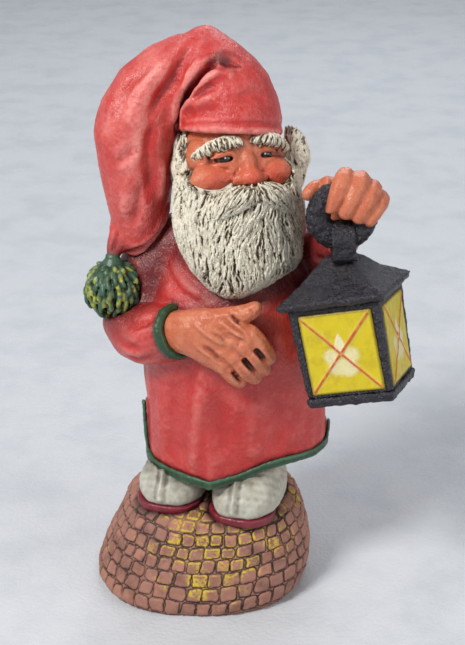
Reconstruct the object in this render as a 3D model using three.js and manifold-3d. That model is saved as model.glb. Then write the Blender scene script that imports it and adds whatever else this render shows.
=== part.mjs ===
// A garden gnome that stands on a cobbled mound and holds a lantern, in millimetres.
// +Z is up, the gnome looks towards -Y, and the origin is the middle of the mound's flat underside.
// Right and left are the gnome's own: its right hand lies on its belly and its left hand holds the lantern.
import * as THREE from "three";
import { mergeVertices } from "three/addons/utils/BufferGeometryUtils.js";
import Module from "manifold-3d";

// Driving dimensions.
const GAP = 0.35; // between neighbouring pieces
const MOUND = { width: 104, depth: 100, height: 45 };
const SOLE = { length: 55, width: 34, thick: 3.2, underside: 41.5 };
const HEAD = { width: 42, depth: 48, height: 57, centre: [12.5, 2, 212.5], turn: 20, tilt: -12 };
const POMPOM_RADIUS = 13.5;
const CUFF = { radius: 10.6, band: 2.1 };
const RING = { radius: 10.2, tube: 5.2, foot: [61.2, -37, 187.2], lean: -5 };
const LUG = { width: 9.6, outer: 7.6, depth: 13 };
const LANTERN = { width: 41, taper: 1.4, height: 44.5, foot: [63, -36, 160.2] };
const LANTERN_POSE = { pitch: -13, lean: -10.9, turn: -20 };
const ROOF = { eave: 48.5, plateau: 11, rise: 18, lip: 2.4 };
const PANE = { width: 33, height: 36, thick: 1.2, recess: 1.6, above: 3 };

const X = new THREE.Vector3(1, 0, 0);
const Z = new THREE.Vector3(0, 0, 1);
const DOME_RINGS = 2;
const degrees = THREE.MathUtils.degToRad;
const { smoothstep } = THREE.MathUtils;

const wasm = await Module();
wasm.setup();

// ---- Solids -------------------------------------------------------------------------------------

// A three.js geometry as a solid, with its shared vertices merged and collapsed triangles left out.
function solid(geometry, tolerance = 1e-4) {
  const bare = geometry.clone();
  bare.deleteAttribute("normal");
  bare.deleteAttribute("uv");
  const merged = mergeVertices(bare, tolerance);
  const index = merged.index.array;
  const kept = [];
  for (let i = 0; i < index.length; i += 3) {
    const [a, b, c] = [index[i], index[i + 1], index[i + 2]];
    if (a !== b && b !== c && c !== a) kept.push(a, b, c);
  }
  return new wasm.Manifold(
    new wasm.Mesh({
      numProp: 3,
      vertProperties: merged.attributes.position.array,
      triVerts: new Uint32Array(kept),
    }),
  );
}

// A solid as a three.js geometry.
function geometryOf(body) {
  const mesh = body.getMesh();
  return new THREE.BufferGeometry()
    .setAttribute("position", new THREE.BufferAttribute(mesh.vertProperties, 3))
    .setIndex(new THREE.BufferAttribute(mesh.triVerts, 1));
}

// A solid whose surface is moved outwards, as the room that a neighbour leaves round it.
function grown(body, by = GAP) {
  const geometry = geometryOf(body);
  geometry.computeVertexNormals();
  const { position, normal } = geometry.attributes;
  for (let i = 0; i < position.count; i++) {
    const place = new THREE.Vector3().fromBufferAttribute(position, i);
    place.addScaledVector(new THREE.Vector3().fromBufferAttribute(normal, i), by);
    position.setXYZ(i, ...place);
  }
  return solid(geometry);
}

const joined = (bodies) => bodies.reduce((all, body) => all.add(body));
const clearOf = (body, ...others) => others.reduce((left, other) => left.subtract(grown(other)), body);

// The largest of a solid's bodies, with its shortest edges closed up: a cut can leave crumbs.
function largest(body) {
  const cleaned = solid(geometryOf(body), 4e-3);
  return cleaned.decompose().reduce((a, b) => (a.volume() > b.volume() ? a : b));
}

// A solid of one group's frame, as another group's frame sees it.
function seenFrom(body, from, to) {
  const matrix = to.matrixWorld.clone().invert().multiply(from.matrixWorld);
  return solid(geometryOf(body).applyMatrix4(matrix));
}

// The skin of a swept body. Each station is [x, y, z, radius along "across", other radius].
// Its sections stand square to the spine, or lie level when "level" is set.
// skin(t, angle) is its point at a share t of the way along, with angle 0 on the "across" side.
function skinOf(stations, { across = X, level = false, power = 2, reshape = (point) => point } = {}) {
  const curve = (points) => new THREE.CatmullRomCurve3(points, false, "catmullrom", 0.5);
  const spine = curve(stations.map(([x, y, z]) => new THREE.Vector3(x, y, z)));
  const radii = curve(stations.map(([, , , a, b = a]) => new THREE.Vector3(a, b, 0)));
  const rounded = (c) => Math.sign(c) * Math.abs(c) ** (2 / power);
  return (t, angle, scale = 1, push = 0) => {
    const along = level ? Z : spine.getTangent(t);
    const u = across.clone().addScaledVector(along, -across.dot(along)).normalize();
    const w = u.clone().cross(along);
    const radius = radii.getPoint(t);
    const point = spine.getPoint(t);
    point.addScaledVector(u, rounded(Math.cos(angle)) * radius.x * scale);
    point.addScaledVector(w, rounded(Math.sin(angle)) * radius.y * scale);
    point.addScaledVector(along, push);
    return reshape(point, t);
  };
}

// A solid swept through stations, with domes that stand out by the given lengths at its two ends.
function sweep(stations, { sides = 18, steps = 16, domes = [0, 0], ...form } = {}) {
  const skin = skinOf(stations, form);
  const rings = steps + 2 * DOME_RINGS;
  const geometry = new THREE.CylinderGeometry(1, 1, 1, sides, rings);
  const { position } = geometry.attributes;
  for (let i = 0; i < position.count; i++) {
    const ring = Math.round((position.getY(i) + 0.5) * rings);
    const fromEnd = Math.min(ring, rings - ring);
    const end = ring < rings / 2 ? 0 : 1;
    const onDome = fromEnd < DOME_RINGS && domes[end] > 0;
    const turn = onDome ? (fromEnd / DOME_RINGS) * (Math.PI / 2) : Math.PI / 2;
    const push = (end ? 1 : -1) * domes[end] * Math.cos(turn);
    const t = THREE.MathUtils.clamp((ring - DOME_RINGS) / steps, 0, 1);
    const [x, z] = [position.getX(i), position.getZ(i)];
    const scale = Math.hypot(x, z) * Math.sin(turn);
    position.setXYZ(i, ...skin(t, Math.atan2(z, x), scale, push));
  }
  return solid(geometry);
}

function ball([x, y, z], [a, b, c], { across = 10, down = 7 } = {}) {
  return solid(new THREE.SphereGeometry(1, across, down).scale(a, b, c).translate(x, y, z));
}

function box([x, y, z], [a, b, c]) {
  return solid(new THREE.BoxGeometry(a, b, c).translate(x, y, z));
}

// A limb of round section through [x, y, z, radius] stations, with round ends.
function limb(stations, { sides = 7, steps = 2 * (stations.length - 1), ...form } = {}) {
  const ends = [stations[0], stations[stations.length - 1]];
  return sweep(stations, { sides, steps, domes: ends.map((station) => station[3] * 0.95), ...form });
}

// ---- Materials and groups -----------------------------------------------------------------------

const paint = (color, roughness) => new THREE.MeshStandardMaterial({ color, roughness, metalness: 0 });
const RED = paint(0xd5453f, 0.55);
const GREEN = paint(0x2f5a38, 0.5);
const SKIN = paint(0xd8714c, 0.45);
const IVORY = paint(0xe6e0cf, 0.6);
const EYE = paint(0x1c1613, 0.25);
const GREY_WHITE = paint(0xbdbba9, 0.5);
const MAROON = paint(0xa02b3c, 0.45);
const STONE = paint(0x8d5445, 0.7);
const IRON = paint(0x2b2a30, 0.6);
const YELLOW = paint(0xe3cf1d, 0.45);

const gnome = new THREE.Group();
const head = new THREE.Group();
head.position.set(...HEAD.centre);
head.rotation.set(degrees(HEAD.tilt), 0, degrees(HEAD.turn), "ZXY");
const lantern = new THREE.Group();
lantern.position.set(...LANTERN.foot);
lantern.rotation.set(...["pitch", "lean", "turn"].map((angle) => degrees(LANTERN_POSE[angle])), "XYZ");
const handle = new THREE.Group();
handle.position.set(...RING.foot);
handle.rotation.y = degrees(RING.lean);
const FEET = {
  right: { place: [-12.4, 2.5, 0], turn: -17 },
  left: { place: [23, -10, 0], turn: -20 },
};
for (const foot of Object.values(FEET)) {
  foot.group = new THREE.Group();
  foot.group.position.set(...foot.place);
  foot.group.rotation.z = degrees(foot.turn);
  gnome.add(foot.group);
}
gnome.add(head, lantern, handle);
gnome.updateMatrixWorld(true);

function add(group, name, body, material) {
  const mesh = new THREE.Mesh(geometryOf(largest(body)), material);
  mesh.name = name;
  group.add(mesh);
}

// ---- Mound --------------------------------------------------------------------------------------

// Its left flank is steep and its right one slopes, so the middle of each ring drifts to +X.
function mound() {
  const { width, depth, height } = MOUND;
  const ring = (up, wide, deep, x, y) => [x, y, up * height, (wide * width) / 2, (deep * depth) / 2];
  return sweep(
    [
      ring(0, 0.95, 0.95, -1.5, 0),
      ring(0.09, 0.99, 0.99, -1.5, 0),
      ring(0.27, 0.975, 0.96, 1.5, 0.5),
      ring(0.55, 0.9, 0.89, 3.5, 1.5),
      ring(0.78, 0.82, 0.81, 4.5, 2.5),
      ring(0.92, 0.72, 0.72, 4.5, 3),
      ring(0.98, 0.45, 0.45, 4.5, 3),
    ],
    { sides: 24, steps: 8, level: true, power: 2.4, domes: [0, 0.8] },
  );
}

// ---- Feet ---------------------------------------------------------------------------------------

// Half of a foot's outline, from heel to toe, as [across, along] shares of its width and length.
const SOLE_SIDE = [
  [0.26, 0.46],
  [0.36, 0.3],
  [0.37, 0.08],
  [0.45, -0.14],
  [0.49, -0.28],
  [0.38, -0.42],
  [0.19, -0.49],
];

function soleOutline() {
  const { width, length } = SOLE;
  const side = SOLE_SIDE.map(([x, y]) => new THREE.Vector2(x * width, y * length));
  const other = SOLE_SIDE.map(([x, y]) => new THREE.Vector2(-x * width, y * length)).reverse();
  const loop = new THREE.SplineCurve([...side, ...other, side[0]]);
  return new THREE.Shape(loop.getPoints(30).slice(0, -1).reverse());
}

function sole() {
  const slab = new THREE.ExtrudeGeometry(soleOutline(), { depth: SOLE.thick, bevelEnabled: false });
  return solid(slab.translate(0, 0, SOLE.underside));
}

// A puffy, round-toed boot: a foot and the shaft that goes up under the tunic.
function boot() {
  const floor = SOLE.underside + SOLE.thick + GAP;
  const w = SOLE.width / 2;
  const foot = sweep(
    [
      [0, -21, floor + 4, w * 0.64, 7.5],
      [0, -15, floor + 6, w * 0.88, 12],
      [0, -6, floor + 7, w * 0.93, 16],
      [0, 7, floor + 7, w * 0.84, 18],
      [0, 18, floor + 6, w * 0.7, 15],
      [0, 22, floor + 5, w * 0.52, 11],
    ],
    { sides: 16, steps: 8, domes: [4, 2.2] },
  );
  const shaft = sweep(
    [
      [0, 8, floor + 6, w * 0.8, 13],
      [0, 7, floor + 20, w * 0.74, 12.5],
      [0, 7, floor + 30, w * 0.78, 13],
    ],
    { sides: 14, steps: 2 },
  );
  const room = box([0, 0, floor + 30], [80, 120, 60]);
  return foot.add(shaft).intersect(room);
}

// ---- Tunic --------------------------------------------------------------------------------------

const TUNIC = [
  [16, 7, 62, 42, 31],
  [16, 7, 73, 42.8, 32],
  [15.5, 6, 92, 43, 33.5],
  [15, 5, 110, 42.6, 34.5],
  [15, 3.5, 128, 41.5, 36],
  [15, 3, 143, 39, 35.5],
  [15.5, 4, 157, 36, 31.5],
  [16, 6, 170, 31, 26],
  [15.5, 8, 181, 24, 21],
  [15, 9, 189, 16, 16],
];
const TUNIC_SIDES = 26;
const HEM = TUNIC[0][2];
const FOLD = { x: 3.4, depth: 7, width: 12 }; // the ridge down the right of the skirt's front

// The hem dips at the right, rises towards the left, and a soft fold runs down the skirt's front.
const TUNIC_FORM = {
  level: true,
  power: 2.35,
  reshape(point) {
    const skirt = 1 - smoothstep(point.z, HEM, 118);
    const front = smoothstep(-point.y, -4, 22);
    const away = (point.x - FOLD.x) / FOLD.width;
    point.y -= front * skirt * FOLD.depth * Math.exp(-away * away);
    const hemShare = 1 - smoothstep(point.z, HEM, HEM + 30);
    point.z += hemShare * (8.5 * smoothstep(point.x, 6, 40) * smoothstep(-point.y, -30, 10) - 2);
    return point;
  },
};

// The under side is scooped out by a few millimetres, so that the hem hangs round the boots.
function tunic() {
  const body = sweep(TUNIC, { sides: TUNIC_SIDES, steps: 12, domes: [0, 3], ...TUNIC_FORM });
  const scoop = ball([16, 7, HEM - 6], [37, 26, 11.5], { across: 14, down: 8 });
  return body.subtract(scoop);
}

// The band that is sewn round the hem and up the slits at the tunic's two sides. Its inner and outer
// faces stand off the tunic's skin by these shares of the tunic's radius.
const BAND = { inner: 1.015, outer: 1.055, below: 0.6, above: 3.2 };
const SLITS = [
  { angle: degrees(173), top: 0.21 },
  { angle: degrees(3), top: 0.13 },
];

function moved(geometry, place) {
  const { position } = geometry.attributes;
  for (let i = 0; i < position.count; i++) {
    position.setXYZ(i, ...place(position.getX(i), position.getY(i), position.getZ(i)));
  }
  return solid(geometry);
}

function hemTrim() {
  const skin = skinOf(TUNIC, TUNIC_FORM);
  const { inner, outer, below, above } = BAND;
  const hemBand = moved(new THREE.TorusGeometry(2, 1, 4, TUNIC_SIDES), (x, y, z) => {
    const out = Math.hypot(x, y) - 2;
    const scale = out + z > 0 ? outer : inner;
    const push = z - out > 0 ? above : -below;
    return skin(0, Math.PI / 2 - Math.atan2(y, x), scale, push);
  });
  const strips = SLITS.map(({ angle, top }) =>
    moved(new THREE.BoxGeometry(0.08, 0.032, 1, 1, 1, 4), (x, y, z) =>
      skin((z + 0.5) * top, angle + x, (inner + outer) / 2 + y, 1 - 2 * z),
    ),
  );
  return joined([hemBand, ...strips]);
}

// ---- Arms ---------------------------------------------------------------------------------------

const SLEEVE_RIGHT = [
  [-3, 8, 173, 14],
  [-16, 9, 161, 16.5],
  [-27, 7, 147, 17],
  [-31.5, 0, 135, 16],
  [-28, -11, 131, 14],
  [-20, -20.5, 134.5, 12.6],
  [-12, -27.5, 138.8, 11.6],
];
const SLEEVE_LEFT = [
  [32, 8, 168, 14.5],
  [42, 6, 164, 14.5],
  [51, 1, 164, 12.6],
  [56.5, -6, 170, 11.4],
  [60.5, -12, 178, 10.6],
  [63, -16, 185.5, 10],
];

const sleeve = (stations) => sweep(stations, { sides: 16, steps: 11 });

// A rolled band round the end of a sleeve.
function cuff(stations, radius) {
  const [from, to] = stations.slice(-2).map(([x, y, z]) => new THREE.Vector3(x, y, z));
  const along = to.clone().sub(from).normalize();
  const torus = new THREE.TorusGeometry(radius, CUFF.band, 7, 18);
  torus.applyQuaternion(new THREE.Quaternion().setFromUnitVectors(Z, along));
  return solid(torus.translate(...to.clone().addScaledVector(along, 0.6)));
}

// The open hand lies flat on the belly with the thumb up. Each finger is a limb from its knuckle to its tip.
const RIGHT_FINGERS = [
  [[12, -39, 146, 5], [21.5, -40.5, 143, 4.8], [27, -40, 136.5, 4.2], [30, -38.5, 131, 3.4]],
  [[10, -39, 141, 5], [18.3, -41, 138.2, 4.8], [24, -40.5, 131, 4.3], [27.8, -38.5, 125.3, 3.4]],
  [[6, -39, 137, 5], [14.4, -41, 132.8, 4.8], [19.8, -40.5, 126.4, 4.2], [23.8, -38.5, 121.4, 3.4]],
  [[2, -38, 133.5, 5], [9.6, -40, 128.4, 4.6], [13.8, -39.5, 123, 4.1], [16.8, -38.5, 119.2, 3.2]],
];
const RIGHT_THUMB = [[3, -37, 148, 5.4], [14, -37.5, 150.6, 4.6], [20, -38, 152.4, 4], [23.6, -38, 154.6, 3.2]];

function openHand() {
  const palm = sweep(
    [
      [-12.2, -27.4, 138.8, 9.3, 8.4],
      [-6.5, -32, 140.4, 10.4, 7.8],
      [1, -36.5, 141, 13, 6.8],
      [9, -38.5, 138.5, 14, 5.6],
    ],
    { across: Z, sides: 14, steps: 6, domes: [0, 4] },
  );
  return joined([palm, ...RIGHT_FINGERS.map((finger) => limb(finger)), limb(RIGHT_THUMB)]);
}

// The closed hand comes up behind the lantern's ring, and its fingers curl forwards over the top of it.
const LEFT_FINGERS = [
  [[62, -27, 210, 4.6], [61.5, -35, 214, 4.5], [59, -41.5, 211.5, 4.2], [55.5, -42.5, 203.5, 3.6]],
  [[68, -26.5, 209, 4.6], [68, -34.5, 212.6, 4.4], [65.6, -41.5, 209.5, 4.2], [61.6, -43, 201, 3.6]],
  [[73, -25.5, 205, 4.4], [73.4, -33, 208.2, 4.3], [71, -40.5, 206, 4.1], [67.2, -42.5, 198.8, 3.6]],
  [[76, -24.5, 200, 4.2], [77.2, -31, 202.6, 4.1], [75.4, -38.5, 201.6, 3.9], [72, -41.5, 196.8, 3.3]],
];
const LEFT_THUMB = [[63, -22, 203, 4.8], [55, -23, 206, 4.5], [49, -25.5, 207.4, 4], [46, -28.5, 206.2, 3.4]];

function fist() {
  const palm = sweep(
    [
      [63, -16, 185.5, 8, 7],
      [64.5, -20, 193, 9, 6.8],
      [67.5, -23, 201, 10.5, 6.6],
      [68.5, -25, 206.5, 9.5, 5.8],
    ],
    { sides: 14, steps: 6, domes: [0, 3] },
  );
  return joined([palm, ...LEFT_FINGERS.map((finger) => limb(finger)), limb(LEFT_THUMB)]);
}

// ---- Head, in its own frame: the eyes are level with the origin and the face looks towards -Y -----

const EYE_PLACE = [9.2, -18.9, 0.4];
const mirrored = ([x, y, z], side) => [side * x, y, z];

function skull() {
  const [a, b, c] = [HEAD.width / 2, HEAD.depth / 2, HEAD.height / 2];
  return joined([
    ball([0, 0, 0], [a, b, c], { across: 18, down: 12 }),
    ball([0, -b - 1.2, -8], [5, 5, 4.8]), // nose
    limb([[0, -b + 2.2, 2, 2.6], [0, -b - 0.4, -5, 3.4]], { steps: 3 }), // bridge of the nose
    ball([12, -17.9, -8.4], [7.4, 5.4, 5.5]), // cheeks
    ball([-12, -17.9, -8.4], [7.4, 5.4, 5.5]),
  ]);
}

const eyeball = (side) => ball(mirrored(EYE_PLACE, side), [3.9, 3.9, 3.4], { across: 10, down: 6 });

const eyebrow = (side) =>
  limb(
    [[3.6, -23.3, 6.8, 1.8], [9, -22.3, 7.4, 2.4], [14.2, -18.8, 6.2, 2.3], [18.8, -13.6, 2.8, 1.6]].map(
      ([x, y, z, r]) => [side * x, y, z, r],
    ),
    { across: Z },
  );

// A full beard, from the temples round the jaw to a round point on the chest.
function beardMass() {
  const mass = sweep(
    [
      [0, 0, 6, 21.5, 17],
      [0, -2, -2, 24, 21],
      [0, -4, -12, 27, 25],
      [0, -6, -24, 29, 26],
      [0.5, -9, -34, 28.5, 23],
      [2.6, -13, -44.5, 25.6, 18],
      [6, -17, -53.4, 19.5, 11.8],
    ],
    { sides: 20, steps: 9, domes: [0, 4] },
  );
  const faceOpening = ball([0, -30, 3.4], [21, 20, 16.8], { across: 14, down: 10 });
  const behind = box([0, 30, -25], [90, 60, 90]);
  return mass.subtract(faceOpening).subtract(behind);
}

const moustacheMass = () =>
  joined(
    [-1, 1].map((side) =>
      limb(
        [[-side * 0.6, -29.5, -14.2, 3.6], [side * 7, -29.6, -16, 4.4], [side * 13.5, -26.6, -18.8, 3.9], [side * 18.5, -22.4, -23, 2]],
        { across: Z },
      ),
    ),
  );

// Hair round the back of the head, with the tuft that stands up beside the hat over the left ear.
function hairMass() {
  const back = ball([0, 4.5, -4], [25.4, 24.6, 28], { across: 16, down: 10 });
  const front = box([0, -46, 0], [120, 88, 120]);
  const tuft = limb(
    [[26, -2, -15, 6.6], [28.6, -3.5, -6, 6.2], [29.4, -4.5, 2, 4.2], [29.6, -5, 9, 1.3]],
    { sides: 8, steps: 4 },
  );
  return back.subtract(front).add(tuft);
}

// ---- Hat ----------------------------------------------------------------------------------------

// The crown leans over to the gnome's right, and the tail falls from its top past the head to the shoulder.
function hatMass() {
  const crown = sweep(
    [
      [11.8, 3.3, 222.6, 23.4, 26.4],
      [12, 5.2, 228.8, 23.2, 26],
      [10, 6.8, 238.4, 21.6, 24.2],
      [6, 8.8, 247.4, 18.2, 20.8],
      [2.2, 11.2, 255.4, 13.6, 15.8],
      [-0.6, 12.8, 262, 8.8, 9.8],
    ],
    { sides: 20, steps: 7, domes: [0, 5] },
  );
  const tail = sweep(
    [
      [3, 7.4, 258, 8.4, 10.6],
      [-8, 7.6, 253, 11.8, 14.2],
      [-18.5, 7.5, 244.8, 14.8, 16.4],
      [-26, 6.5, 233, 17.6, 18.2],
      [-29.8, 6, 219, 18.6, 18.8],
      [-29.5, 6, 205, 17, 17.5],
      [-28.6, 6, 191, 15, 15.5],
      [-28.8, 5, 178, 12.6, 13],
      [-32, 4, 169, 9, 9.4],
    ],
    { sides: 16, steps: 10, domes: [6, 5] },
  );
  const tip = limb([[-34, 4.5, 180, 8], [-38.4, 2.2, 171.5, 5.2], [-40.6, 0.4, 165.5, 3.4]], { steps: 5 });
  return joined([crown, tail, tip]);
}

// The pompom hangs from a short neck at the tail's end.
function pompom() {
  const yarn = ball([-41, -4, 150], Array(3).fill(POMPOM_RADIUS), { across: 16, down: 12 });
  const neck = sweep([[-40.8, -3, 157.5, 8.4], [-41, -1.4, 163.2, 4.4], [-41, -0.4, 167, 3.6]], {
    sides: 10,
    steps: 3,
  });
  return yarn.add(neck);
}

// ---- Handle, in its own frame: the origin is inside the foot of the ring's tube --------------------

function ring() {
  const torus = new THREE.TorusGeometry(RING.radius, RING.tube, 10, 20).rotateX(Math.PI / 2);
  return solid(torus.translate(0, 0, RING.radius));
}

// The lug that stands on the roof and wraps round the foot of the ring.
function hanger() {
  const profile = new THREE.Shape();
  profile.moveTo(-LUG.outer, -LUG.depth);
  profile.lineTo(-LUG.outer, 0);
  profile.absarc(0, 0, LUG.outer, Math.PI, 0, true);
  profile.lineTo(LUG.outer, -LUG.depth);
  const size = { depth: LUG.width, bevelEnabled: false, curveSegments: 10 };
  const lug = new THREE.ExtrudeGeometry(profile, size).translate(0, 0, -LUG.width / 2);
  return solid(lug.rotateX(Math.PI / 2).rotateZ(Math.PI / 2));
}

// ---- Lantern, in its own frame: the origin is on its axis, level with the eaves --------------------

// A square solid of revolution from [half width, height] points, with its flat sides facing along X and Y.
function squareTurned(points) {
  const profile = points.map(([half, z]) => new THREE.Vector2(half * Math.SQRT2, z));
  return solid(new THREE.LatheGeometry(profile, 4).rotateX(Math.PI / 2).rotateZ(Math.PI / 4));
}

function roof() {
  return squareTurned([
    [0, 0],
    [ROOF.eave / 2 - 1, 0],
    [ROOF.eave / 2, ROOF.lip],
    [ROOF.eave * 0.3, ROOF.rise * 0.5],
    [ROOF.plateau / 2, ROOF.rise],
    [0, ROOF.rise],
  ]);
}

const FLOOR = { lip: 0.8, thick: 4 };

function lanternBody() {
  const top = LANTERN.width / 2;
  const bottom = top - LANTERN.taper;
  const walls = squareTurned([
    [0, FLOOR.thick + GAP - LANTERN.height],
    [bottom, FLOOR.thick + GAP - LANTERN.height],
    [top, -GAP],
    [0, -GAP],
  ]);
  return SIDES.reduce((left, side) => left.subtract(onSide(side, PANE.recess, 0, 4)), walls);
}

function lanternFloor() {
  const half = LANTERN.width / 2 - LANTERN.taper + FLOOR.lip;
  return squareTurned([
    [0, -LANTERN.height],
    [half - 1, -LANTERN.height],
    [half, FLOOR.thick - LANTERN.height],
    [0, FLOOR.thick - LANTERN.height],
  ]);
}

// The four windows, by the turn of each about the lantern's axis from the front.
const SIDES = [
  { name: "front", turn: 0 },
  { name: "right", turn: -90 },
  { name: "back", turn: 180 },
  { name: "left", turn: 90 },
];

// A window-sized slab on one side: sunk below the wall's face, less a margin all round, and so thick.
function onSide({ turn }, sunk, margin, thick) {
  const middle = PANE.above + PANE.height / 2;
  const lean = Math.atan2(LANTERN.taper, LANTERN.height);
  const face = LANTERN.width / 2 - LANTERN.taper * (middle / LANTERN.height);
  const size = [PANE.width - 2 * margin, thick, PANE.height - 2 * margin];
  const slab = new THREE.BoxGeometry(...size).rotateX(lean);
  return solid(slab.translate(0, -face + sunk - thick / 2, -middle).rotateZ(degrees(turn)));
}

const pane = (side) => onSide(side, PANE.recess - GAP, GAP, PANE.thick);

// ---- Assembly -----------------------------------------------------------------------------------

const solePiece = sole();
const bootMass = boot();
const tunicMass = tunic();
const hem = hemTrim();
const sleeveMass = { right: sleeve(SLEEVE_RIGHT), left: sleeve(SLEEVE_LEFT) };
const sleeveRight = clearOf(sleeveMass.right, tunicMass);
const sleeveLeft = clearOf(sleeveMass.left, tunicMass);

let moundMass = mound();
for (const { group } of Object.values(FEET)) {
  moundMass = moundMass.subtract(grown(seenFrom(solePiece, group, gnome)));
}
add(gnome, "base_mound", moundMass, STONE);
for (const [side, { group }] of Object.entries(FEET)) {
  add(group, `sole_${side}`, solePiece, MAROON);
  const clothes = [tunicMass, hem].map((body) => seenFrom(body, gnome, group));
  add(group, `boot_${side}`, clearOf(bootMass, ...clothes), GREY_WHITE);
}

const eyes = { right: eyeball(-1), left: eyeball(1) };
const eyebrows = { right: eyebrow(-1), left: eyebrow(1) };
const hatAll = hatMass();
const headInWorld = seenFrom(skull(), head, gnome);
const hat = clearOf(hatAll, headInWorld);
const hatFromHead = seenFrom(hatAll, gnome, head);
const tunicFromHead = seenFrom(tunicMass, gnome, head);
const headMass = clearOf(skull(), eyes.right, eyes.left, tunicFromHead);
const moustache = clearOf(moustacheMass(), headMass);
const brows = joined([eyebrows.right, eyebrows.left]);
const beard = clearOf(beardMass(), skull(), moustache, brows, hatFromHead, tunicFromHead);
const hair = clearOf(hairMass(), skull(), beard, hatFromHead, tunicFromHead);

const ringMass = ring();
const ringInWorld = seenFrom(ringMass, handle, gnome);
const roofMass = clearOf(roof(), seenFrom(tunicMass, gnome, lantern));
const hangerMass = clearOf(hanger(), ringMass, seenFrom(roof(), lantern, handle));
const hangerInWorld = seenFrom(hanger(), handle, gnome);
const handRight = clearOf(openHand(), tunicMass);
const handLeft = clearOf(fist(), ringInWorld, hangerInWorld);
const beardInWorld = seenFrom(beard, head, gnome);
const pompomMass = pompom();
const sleeveRightPiece = clearOf(sleeveRight, handRight, beardInWorld, pompomMass);
const sleeveLeftPiece = clearOf(sleeveLeft, handLeft, beardInWorld);
const cuffRight = clearOf(cuff(SLEEVE_RIGHT, CUFF.radius), sleeveRight, handRight, tunicMass);
const cuffLeft = clearOf(cuff(SLEEVE_LEFT, CUFF.radius - 1.2), sleeveLeft, handLeft, tunicMass, ringInWorld);

add(gnome, "tunic", tunicMass, RED);
add(gnome, "hem_trim", hem, GREEN);
add(gnome, "sleeve_right", sleeveRightPiece, RED);
add(gnome, "sleeve_left", sleeveLeftPiece, RED);
add(gnome, "cuff_right", cuffRight, GREEN);
add(gnome, "cuff_left", cuffLeft, GREEN);
add(gnome, "hand_right", handRight, SKIN);
add(gnome, "hand_left", handLeft, SKIN);
add(head, "head", headMass, SKIN);
for (const side of ["right", "left"]) {
  add(head, `eye_${side}`, eyes[side], EYE);
  add(head, `eyebrow_${side}`, clearOf(eyebrows[side], headMass, hatFromHead), IVORY);
}
add(head, "moustache", moustache, IVORY);
add(head, "beard", beard, IVORY);
add(head, "hair", hair, IVORY);
add(gnome, "hat", clearOf(hat, sleeveMass.right), RED);
add(gnome, "pompom", clearOf(pompomMass, hatAll), GREEN);

add(handle, "lantern_ring", ringMass, IRON);
add(handle, "lantern_hanger", hangerMass, IRON);
add(lantern, "lantern_roof", roofMass, IRON);
add(lantern, "lantern_body", lanternBody(), IRON);
add(lantern, "lantern_floor", lanternFloor(), IRON);
for (const side of SIDES) add(lantern, `lantern_pane_${side.name}`, pane(side), YELLOW);

export default gnome;
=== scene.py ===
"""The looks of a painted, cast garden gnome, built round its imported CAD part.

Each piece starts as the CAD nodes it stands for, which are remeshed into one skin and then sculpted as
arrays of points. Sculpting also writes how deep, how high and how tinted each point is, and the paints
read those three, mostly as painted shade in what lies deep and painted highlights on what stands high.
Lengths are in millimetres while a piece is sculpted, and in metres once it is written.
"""

import itertools
import math

import bmesh
import bpy
import numpy as np
from mathutils import Matrix, Vector
from mathutils.bvhtree import BVHTree


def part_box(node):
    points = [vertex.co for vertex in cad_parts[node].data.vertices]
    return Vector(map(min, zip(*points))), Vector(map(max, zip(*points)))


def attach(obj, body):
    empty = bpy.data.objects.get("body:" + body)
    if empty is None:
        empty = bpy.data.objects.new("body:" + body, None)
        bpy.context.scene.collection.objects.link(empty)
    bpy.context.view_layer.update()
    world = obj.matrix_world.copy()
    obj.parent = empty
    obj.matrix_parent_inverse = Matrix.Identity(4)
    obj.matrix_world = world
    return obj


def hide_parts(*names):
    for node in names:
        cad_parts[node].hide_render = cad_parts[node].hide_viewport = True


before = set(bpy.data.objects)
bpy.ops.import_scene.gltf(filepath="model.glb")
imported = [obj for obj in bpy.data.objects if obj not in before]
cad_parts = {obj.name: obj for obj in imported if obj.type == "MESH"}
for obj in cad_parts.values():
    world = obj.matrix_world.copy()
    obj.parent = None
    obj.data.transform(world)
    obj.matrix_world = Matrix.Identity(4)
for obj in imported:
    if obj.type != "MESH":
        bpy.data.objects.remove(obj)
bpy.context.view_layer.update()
MM = 1000.0
OUTSIDE = 300.0
rng = np.random.default_rng(20)
scene = bpy.context.scene


# ---- Places --------------------------------------------------------------------------------------


def mm_box(node):
    """A CAD node's low and high corners, in mm."""
    low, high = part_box(node)
    return np.array(low) * MM, np.array(high) * MM


def centre(node):
    low, high = mm_box(node)
    return (low + high) / 2


def unit(v):
    v = np.asarray(v, float)
    return v / max(np.linalg.norm(v), 1e-12)


def node_points(node):
    return np.array([v.co[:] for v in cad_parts[node].data.vertices]) * MM


class Axes:
    """A turned frame: x towards the object's left, y backwards and z up."""

    def __init__(self, origin, x, y):
        self.origin = np.asarray(origin, float)
        x = unit(x)
        z = unit(np.cross(x, y))
        self.m = np.stack([x, np.cross(z, x), z])

    def local(self, co):
        return (np.asarray(co) - self.origin) @ self.m.T

    def world(self, co):
        return np.asarray(co) @ self.m + self.origin


def step(v, low, high):
    """0 below low, 1 above high and smooth between them."""
    t = np.clip((v - low) / (high - low), 0, 1)
    return t * t * (3 - 2 * t)


def bell(v, width):
    """1 where the value is 0, falling off on both sides."""
    return np.exp(-((v / width) ** 2))


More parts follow.
